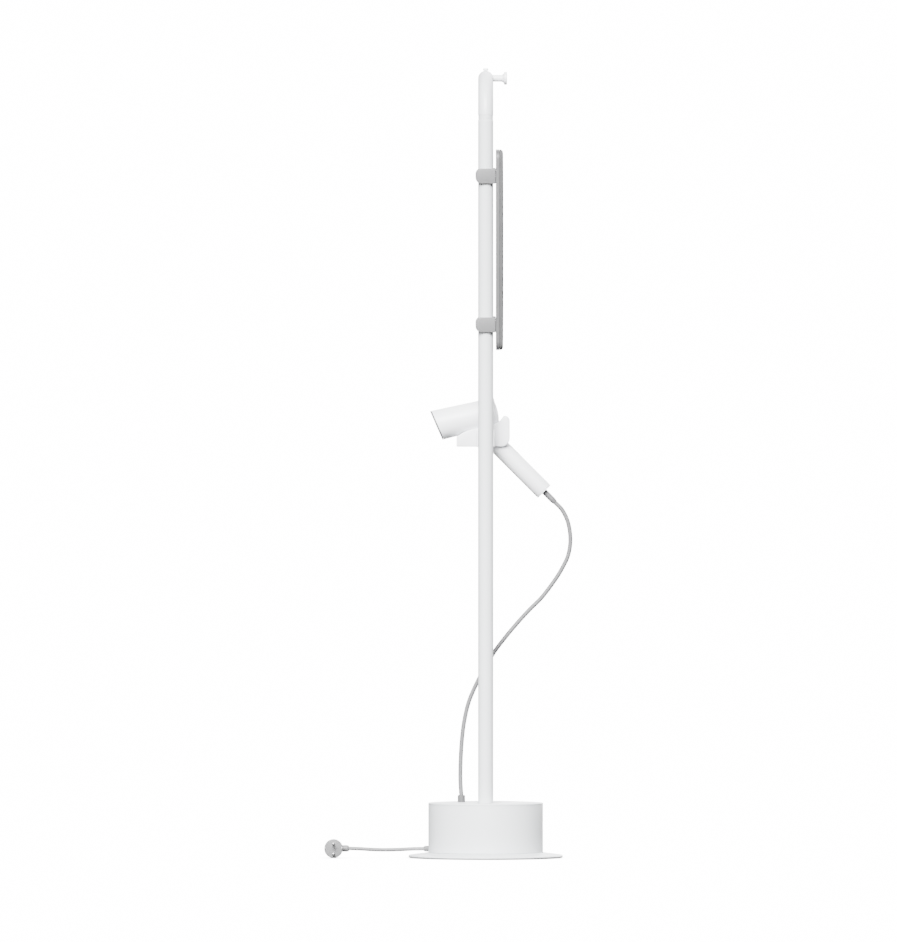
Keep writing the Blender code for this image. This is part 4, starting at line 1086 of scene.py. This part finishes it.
def build_plate():
    plate = lathe("plate_disc", [
        (0, PLATE_LOW), (FOOT_INNER, PLATE_LOW), (FOOT_INNER, 3.2 * MM), (FOOT_OUTER, 3.2 * MM),
        (FOOT_OUTER, PLATE_LOW), (PLATE_RADIUS - 2.0 * MM, PLATE_LOW, 1.5 * MM),
        (PLATE_RADIUS, 3.4 * MM, 1.4 * MM),
        (PLATE_RADIUS - 2.6 * MM, 5.9 * MM, 4 * MM), (BASE_RADIUS + 2 * MM, PLATE_HIGH, 12 * MM),
        (0, PLATE_HIGH),
    ], steps=192)
    wells = []
    for side, sign in SIDES:
        wells.append(lathe(f"plate_bolt_{side}", [
            (0, 0), (6.6 * MM, 0), (6.6 * MM, 5.4 * MM), (3.4 * MM, 5.4 * MM), (3.4 * MM, 12 * MM),
            (0, 12 * MM),
        ], at=(0, sign * LEG_OFFSET, 0), steps=32))
        bolt = lathe(f"leg_bolt_{side}_hex", [
            (0, 1.5 * MM), (6 * MM, 1.5 * MM, 0.5 * MM), (6 * MM, 5.1 * MM), (3 * MM, 5.1 * MM),
            (3 * MM, 17 * MM),
            (0, 17 * MM),
        ], at=(0, sign * LEG_OFFSET, 0), steps=36)
        socket = lathe("hex", [(0, 0), (3.2 * MM, 0), (3.2 * MM, 3.6 * MM), (0, 3.6 * MM)],
                       at=(0, sign * LEG_OFFSET, 0), steps=6)
        show(carve(bolt, socket), STAND, "steel", f"leg_bolt_{side}")
    for i, angle in enumerate(SHELL_SCREW_ANGLES, start=1):
        turn = math.radians(angle)
        x, y = SHELL_SCREW_RADIUS * math.cos(turn), SHELL_SCREW_RADIUS * math.sin(turn)
        wells.append(lathe(f"plate_well_{i}", [
            (0, 0), (4.2 * MM, 0), (4.2 * MM, 0.9 * MM), (3 * MM, 2.2 * MM), (3 * MM, 12 * MM),
            (0, 12 * MM),
        ], at=(x, y, PLATE_LOW - 0.1 * MM), steps=24))
        screw = cross_head(f"shell_screw_{i}_cross", 3.8 * MM, 1.6 * MM, 2.6 * MM, 24 * MM,
                           (x, y, PLATE_LOW + 0.3 * MM), ALONG_Z)
        show(screw, STAND, "steel", f"shell_screw_{i}")
    carve(plate, *wells)
    plate.data.set_sharp_from_angle(angle=math.radians(35))
    show(plate, STAND, "white_paint", "base_plate")
    foot = lathe("foot_ring_fine", [
        (FOOT_INNER + GAP, 0, 0.5 * MM), (FOOT_OUTER - GAP, 0, 0.5 * MM),
        (FOOT_OUTER - GAP, 2.9 * MM),
        (FOOT_INNER + GAP, 2.9 * MM),
    ], steps=160)
    show(foot, STAND, "foot_rubber", "foot_ring")


def build_shell():
    low = PLATE_HIGH + GAP
    shell = lathe("base_moulding", [
        (BASE_RADIUS - BASE_WALL, low), (BASE_RADIUS, low, 0.4 * MM),
        (BASE_RADIUS, COVER_SEAM, 0.25 * MM),
        (BASE_RADIUS - BASE_WALL, COVER_SEAM),
    ], steps=192)
    posts = []
    for i, angle in enumerate(SHELL_SCREW_ANGLES, start=1):
        turn = math.radians(angle)
        x, y = SHELL_SCREW_RADIUS * math.cos(turn), SHELL_SCREW_RADIUS * math.sin(turn)
        posts.append(lathe(f"post_{i}", [
            (1.9 * MM, low + 0.5 * MM), (5 * MM, low + 0.5 * MM), (5 * MM, 40 * MM, 0.5 * MM),
            (1.9 * MM, 40 * MM),
        ], at=(x, y, 0), steps=32))
        rib = boxes(f"rib_{i}", [((4 * MM, -1.5 * MM, low + 1 * MM), (9 * MM, 1.5 * MM, 38 * MM))])
        rib.data.transform(Matrix.Translation((x, y, 0)) @ Matrix.Rotation(turn, 4, "Z"))
        posts.append(rib)
    combine(shell, "UNION", *posts)
    opening = lathe("power_opening", [
        (0, 80 * MM), (POWER_RADIUS + GAP, 80 * MM), (POWER_RADIUS + GAP, BASE_RADIUS - 0.9 * MM),
        (POWER_RADIUS + 1.1 * MM, BASE_RADIUS + 0.1 * MM), (POWER_RADIUS + 1.1 * MM, 120 * MM),
        (0, 120 * MM),
    ], at=(0, 0, POWER_HEIGHT), facing=ALONG_X, steps=48)
    gland = lathe("gland_opening", [(0, 90 * MM), (4.8 * MM, 90 * MM), (4.8 * MM, 120 * MM),
        (0, 120 * MM)],
                  at=(0, 0, GLAND_Z), facing=-ALONG_X, steps=32)
    carve(shell, opening, gland)
    shell.data.set_sharp_from_angle(angle=math.radians(35))
    show(shell, STAND, "base_plastic", "base_shell")




def square_post(name, half, low, high):
    """A square prism with rounded upright edges on the filler neck's axis."""
    corners = filleted([
        (NECK_X + half, half, 2 * MM), (NECK_X - half, half, 2 * MM),
        (NECK_X - half, -half, 2 * MM),
        (NECK_X + half, -half, 2 * MM),
    ])
    return prism(name, [(x, y, low) for x, y in corners], (0, 0, high - low))


def build_cover():
    rim = BASE_RADIUS - BASE_WALL - GAP
    seat = COVER_SEAM + GAP
    skirt = COVER_SEAM - 5 * MM
    cover = lathe("cover_moulding", [
        (0, seat), (rim - 2 * MM, seat), (rim - 2 * MM, skirt), (rim, skirt), (rim, seat),
        (BASE_RADIUS, seat, 0.25 * MM), (BASE_RADIUS, BASE_HIGH - CROWN_DROP, 2.8 * MM),
        (CROWN_RADIUS, BASE_HIGH), (0, BASE_HIGH),
    ], steps=192)
    back = FLAP_AXIS_X - FLAP_HALF_THICKNESS - 0.5 * MM
    half, front, wall = FLAP_HALF_WIDTH + GAP, FLAP_FRONT + GAP, 3 * MM
    under = boxes("pocket_under", [((back - wall, -half - wall, POCKET_LOW),
        (front + wall, half + wall, seat + 1 * MM))])
    combine(cover, "UNION", under)
    tools = [
        boxes("pocket", [((back, -half, POCKET_FLOOR), (front, half, BASE_HIGH + 5 * MM))]),
        square_post("neck_opening", NECK_OPENING, 90 * MM, 110 * MM),
        lathe("collar_opening", [(0, 90 * MM), (5.8 * MM, 90 * MM), (5.8 * MM, 0.11), (0, 0.11)],
              at=(COLLAR_X, 0, 0), steps=40),
        lathe("pin_opening", [(0, -half - 2 * MM), (1 * MM, -half - 2 * MM),
        (1 * MM, half + 2 * MM), (0, half + 2 * MM)],
              at=(FLAP_AXIS_X, 0, FLAP_AXIS_Z), facing=ALONG_Y, steps=20),
    ]
    for side, sign in SIDES:
        bore = TUBE_RADIUS + GAP
        tools.append(lathe(f"cover_leg_{side}", [
            (0, 90 * MM), (bore, 90 * MM), (bore, BASE_HIGH - 0.7 * MM),
            (bore + 0.8 * MM, BASE_HIGH + 0.1 * MM),
            (bore + 0.8 * MM, 0.11), (0, 0.11),
        ], at=(0, sign * LEG_OFFSET, 0), steps=72))
    carve(cover, *tools)
    cover.data.set_sharp_from_angle(angle=math.radians(35))
    show(cover, STAND, "base_plastic", "top_cover")


def build_flap():
    low = BASE_HIGH - 2 * FLAP_HALF_THICKNESS
    outline = arc((FLAP_AXIS_X, FLAP_AXIS_Z), FLAP_HALF_THICKNESS, 90, 270, 14)
    outline += [(FLAP_FRONT, low), (FLAP_FRONT, BASE_HIGH)]
    flap = prism("flap_moulding", [(x, -FLAP_HALF_WIDTH, z) for x, z in outline],
        (0, 2 * FLAP_HALF_WIDTH, 0))
    soften(flap, 0.5 * MM, 3, 60)
    notch = lathe("flap_notch", [
        (0, low - 1 * MM), (9 * MM, low - 1 * MM), (9 * MM, BASE_HIGH - 0.6 * MM),
        (9.7 * MM, BASE_HIGH + 0.1 * MM),
        (9.7 * MM, BASE_HIGH + 1 * MM), (0, BASE_HIGH + 1 * MM),
    ], at=(FLAP_FRONT + 4 * MM, 0, 0), steps=64)
    bore = lathe("flap_bore", [(0, -30 * MM), (1 * MM, -30 * MM), (1 * MM, 30 * MM), (0, 30 * MM)],
                 at=(FLAP_AXIS_X, 0, FLAP_AXIS_Z), facing=ALONG_Y, steps=20)
    carve(flap, notch, bore)
    flap.data.set_sharp_from_angle(angle=math.radians(35))
    show(flap, "filler_lid", "white_plastic", "filler_flap")


def build_fittings():
    button = lathe("power_button_fine", [
        (0, 98.5 * MM), (POWER_RADIUS + 1.5 * MM, 98.5 * MM), (POWER_RADIUS + 1.5 * MM, 100.5 * MM),
        (POWER_RADIUS, 101 * MM), (POWER_RADIUS, 106.2 * MM, 0.7 * MM),
        (POWER_RADIUS - 1.6 * MM, 106.2 * MM, 1 * MM),
        (POWER_RADIUS - 3.4 * MM, 105.7 * MM, 2 * MM), (0, 105.5 * MM),
    ], at=(0, 0, POWER_HEIGHT), facing=ALONG_X, steps=64)
    # The button takes the lighter copy of the grey plastic: painted light.
    show(button, "power", "grey_plastic_painted_lighter", "power_button", slot="grey_plastic")
    inner = HOSE_RADIUS + 0.1 * MM
    collar = lathe("hose_collar_fine", [
        (0, 71 * MM), (5 * MM, 71 * MM), (5.4 * MM, 73 * MM), (5.4 * MM, BASE_HIGH + 0.05 * MM),
        (7 * MM, BASE_HIGH + 0.05 * MM, 0.3 * MM), (7 * MM, COLLAR_TOP - 1.4 * MM, 0.6 * MM),
        (5.8 * MM, COLLAR_TOP, 0.4 * MM), (inner, COLLAR_TOP), (inner, COLLAR_TOP - 4.5 * MM),
        (0, COLLAR_TOP - 4.5 * MM),
    ], at=(COLLAR_X, 0, 0), steps=56)
    show(collar, STAND, "grey_plastic", "hose_collar")
    inner = CORD_RADIUS + 0.1 * MM
    gland = lathe("mains_gland_fine", [
        (0, 92 * MM), (6.4 * MM, 92 * MM), (6.4 * MM, 97 * MM), (4.5 * MM, 97 * MM),
        (4.5 * MM, BASE_RADIUS + 0.05 * MM),
        (5.5 * MM, BASE_RADIUS + 0.05 * MM, 0.3 * MM), (5.5 * MM, 110.6 * MM, 0.6 * MM),
        (4.4 * MM, 115 * MM, 0.4 * MM),
        (inner, 115 * MM), (inner, 111.6 * MM), (0, 111.6 * MM),
    ], at=(0, 0, GLAND_Z), facing=-ALONG_X, steps=56)
    show(gland, STAND, "relief_plastic", "mains_gland", slot="dark_plastic")


# ---------------------------------------------------------------- pieces inside


def build_spigots_and_sockets():
    for side, sign in SIDES:
        at = (0, sign * LEG_OFFSET, 0)
        low, top = BOW_START - SPIGOT_REACH, BOW_START - GAP
        outer, bore = TUBE_BORE - GAP, 9.8 * MM
        spigot = lathe(f"bow_spigot_{side}_fine", [
            (bore, low), (outer - 1 * MM, low, 0.3 * MM), (outer, low + 2.5 * MM, 2 * MM),
            (outer, top, 0.3 * MM),
            (bore, top),
        ], at=at, steps=56)
        show(spigot, STAND, "steel", f"bow_spigot_{side}")
        low, bore = PLATE_HIGH + GAP, TUBE_RADIUS + GAP
        socket = lathe(f"leg_socket_{side}_cast", [
            (3.4 * MM, low), (24 * MM, low, 0.4 * MM), (24 * MM, low + 3 * MM, 1 * MM),
            (bore + 3 * MM, low + 3 * MM, 4 * MM), (bore + 3 * MM, 62 * MM, 1 * MM),
            (bore, 62 * MM, 0.6 * MM),
            (bore, LEG_FOOT - GAP), (3.4 * MM, LEG_FOOT - GAP),
        ], at=at, steps=64)
        show(socket, STAND, "cast_aluminium", f"leg_socket_{side}")


def build_clip_screws():
    for level, z in CLIP_HEIGHTS.items():
        for side, sign in SIDES:
            place = (BOARD_SEAM - 0.2 * MM, sign * (LEG_OFFSET - CLIP_SCREW_INSET), z)
            screw = cross_head(f"clip_screw_{level}_{side}_cross", 3.8 * MM, 1.7 * MM, 2.6 * MM,
                14 * MM, place,
                               -ALONG_X)
            show(screw, BOARD, "steel", f"clip_screw_{level}_{side}")


def build_steam_parts():
    ring, groove = 20 * MM, 18.4 * MM
    profile = [(0, 30 * MM), (18 * MM, 30 * MM, 0.6 * MM), (ring, 32 * MM, 0.6 * MM)]
    for start in (36, 42, 48):
        profile += [(ring, start * MM, 0.3 * MM), (groove, (start + 0.8) * MM, 0.3 * MM),
                    (groove, (start + 3) * MM, 0.3 * MM), (ring, (start + 3.8) * MM, 0.3 * MM)]
    profile += [(ring, 98 * MM, 0.6 * MM), (18 * MM, 100 * MM, 0.6 * MM), (0, 100 * MM)]
    show(on_barrel("steam_chamber_cast", profile, 64), HAND_PIECE, "cast_aluminium",
        "steam_chamber")
    pipe = on_handle("steam_pipe_fine", [
        (2 * MM, 30 * MM), (3 * MM, 30 * MM, 0.4 * MM), (3 * MM, 185 * MM, 0.4 * MM),
        (2 * MM, 185 * MM),
    ], 32)
    show(pipe, HAND_PIECE, "clear_plastic", "steam_pipe")
    start, end = BUTTON_PLACE - 7 * MM, BUTTON_PLACE + 7 * MM
    switch = soften(handle_strip("steam_switch_fine", 4.8 * MM, 9 * MM, 3 * MM, start, end),
        0.5 * MM, 2)
    lever = handle_strip("switch_lever", 8.8 * MM, 10 * MM, 1.2 * MM, start + 2 * MM, end - 4 * MM)
    blades = [handle_strip(f"switch_blade_{i}", 4 * MM, 5 * MM, 1.5 * MM, start + at,
        start + at + 0.6 * MM)
              for i, at in enumerate((2 * MM, 6.5 * MM, 11 * MM))]
    combine(switch, "UNION", lever, *blades)
    show(switch, HAND_PIECE, "dark_plastic", "steam_switch")


def build_water_parts():
    pin = lathe("flap_pin_fine", [
        (0, -25.8 * MM), (0.7 * MM, -25.8 * MM, 0.4 * MM), (0.7 * MM, 25.8 * MM, 0.4 * MM),
        (0, 25.8 * MM),
    ], at=(FLAP_AXIS_X, 0, FLAP_AXIS_Z), facing=ALONG_Y, steps=24)
    show(pin, STAND, "steel", "flap_pin")
    end = TANK_BACK - GAP
    pipe = lathe("feed_pipe_fine", [
        (2 * MM, -23.7 * MM), (3 * MM, -23.7 * MM, 0.4 * MM), (3 * MM, end, 0.4 * MM),
        (2 * MM, end),
    ], at=(0, 0, FEED_HEIGHT), facing=ALONG_X, steps=32)
    show(pipe, STAND, "clear_plastic", "feed_pipe")
    pump = boxes("pump_moulding", [((-66 * MM, -18 * MM, 12 * MM), (-24 * MM, 18 * MM, 44 * MM))])
    soften(pump, 3 * MM, 4)
    nipple = lathe("pump_nipple", [
        (0, 40 * MM), (5 * MM, 40 * MM), (5 * MM, 60 * MM, 0.5 * MM), (4 * MM, 61 * MM),
        (5 * MM, 64 * MM, 0.3 * MM),
        (4 * MM, 70 * MM, 0.5 * MM), (0, 70 * MM),
    ], at=(COLLAR_X, 0, 0), steps=40)
    motor = lathe("pump_motor", [
        (0, 64 * MM), (13 * MM, 64 * MM), (13 * MM, 82 * MM, 1.5 * MM), (5 * MM, 82 * MM, 0.5 * MM),
        (5 * MM, 84 * MM, 0.6 * MM), (0, 84 * MM),
    ], at=(0, 0, 29 * MM), facing=-ALONG_X, steps=56)
    combine(pump, "UNION", nipple, motor)
    pump.data.set_sharp_from_angle(angle=math.radians(35))
    show(pump, STAND, "dark_plastic", "pump")
    half = 7 * MM
    low, high = POWER_HEIGHT - half, POWER_HEIGHT + half
    switch = boxes("power_switch_fine", [((89 * MM, -half, low), (94.2 * MM, half, high))])
    soften(switch, 0.8 * MM, 3)
    plunger = lathe("switch_plunger", [(0, 93 * MM), (2 * MM, 93 * MM),
        (2 * MM, 95.5 * MM, 0.5 * MM), (0, 95.5 * MM)],
                    at=(0, 0, POWER_HEIGHT), facing=ALONG_X, steps=24)
    blades = [boxes(f"power_blade_{i}", [((86.5 * MM, y - 0.4 * MM, low + 4 * MM),
        (90 * MM, y + 0.4 * MM, high - 4 * MM))])
              for i, y in enumerate((-4 * MM, 4 * MM))]
    combine(switch, "UNION", plunger, *blades)
    switch.data.set_sharp_from_angle(angle=math.radians(35))
    show(switch, STAND, "dark_plastic", "power_switch")


# ---------------------------------------------------------------- the whole object

FINISHES = build_finishes()


def main():
    build_camera()
    build_studio()
    build_hose()
    build_mains_cord()
    build_floor()
    build_legs()
    build_bow()
    build_peg()
    build_tray()
    build_pad()
    build_clips()
    build_fork()
    build_barrel()
    build_handle()
    build_plate()
    build_shell()
    build_cover()
    build_flap()
    build_fittings()
    build_spigots_and_sockets()
    build_clip_screws()
    build_steam_parts()
    build_water_parts()
    finish_inner_nodes()


main()
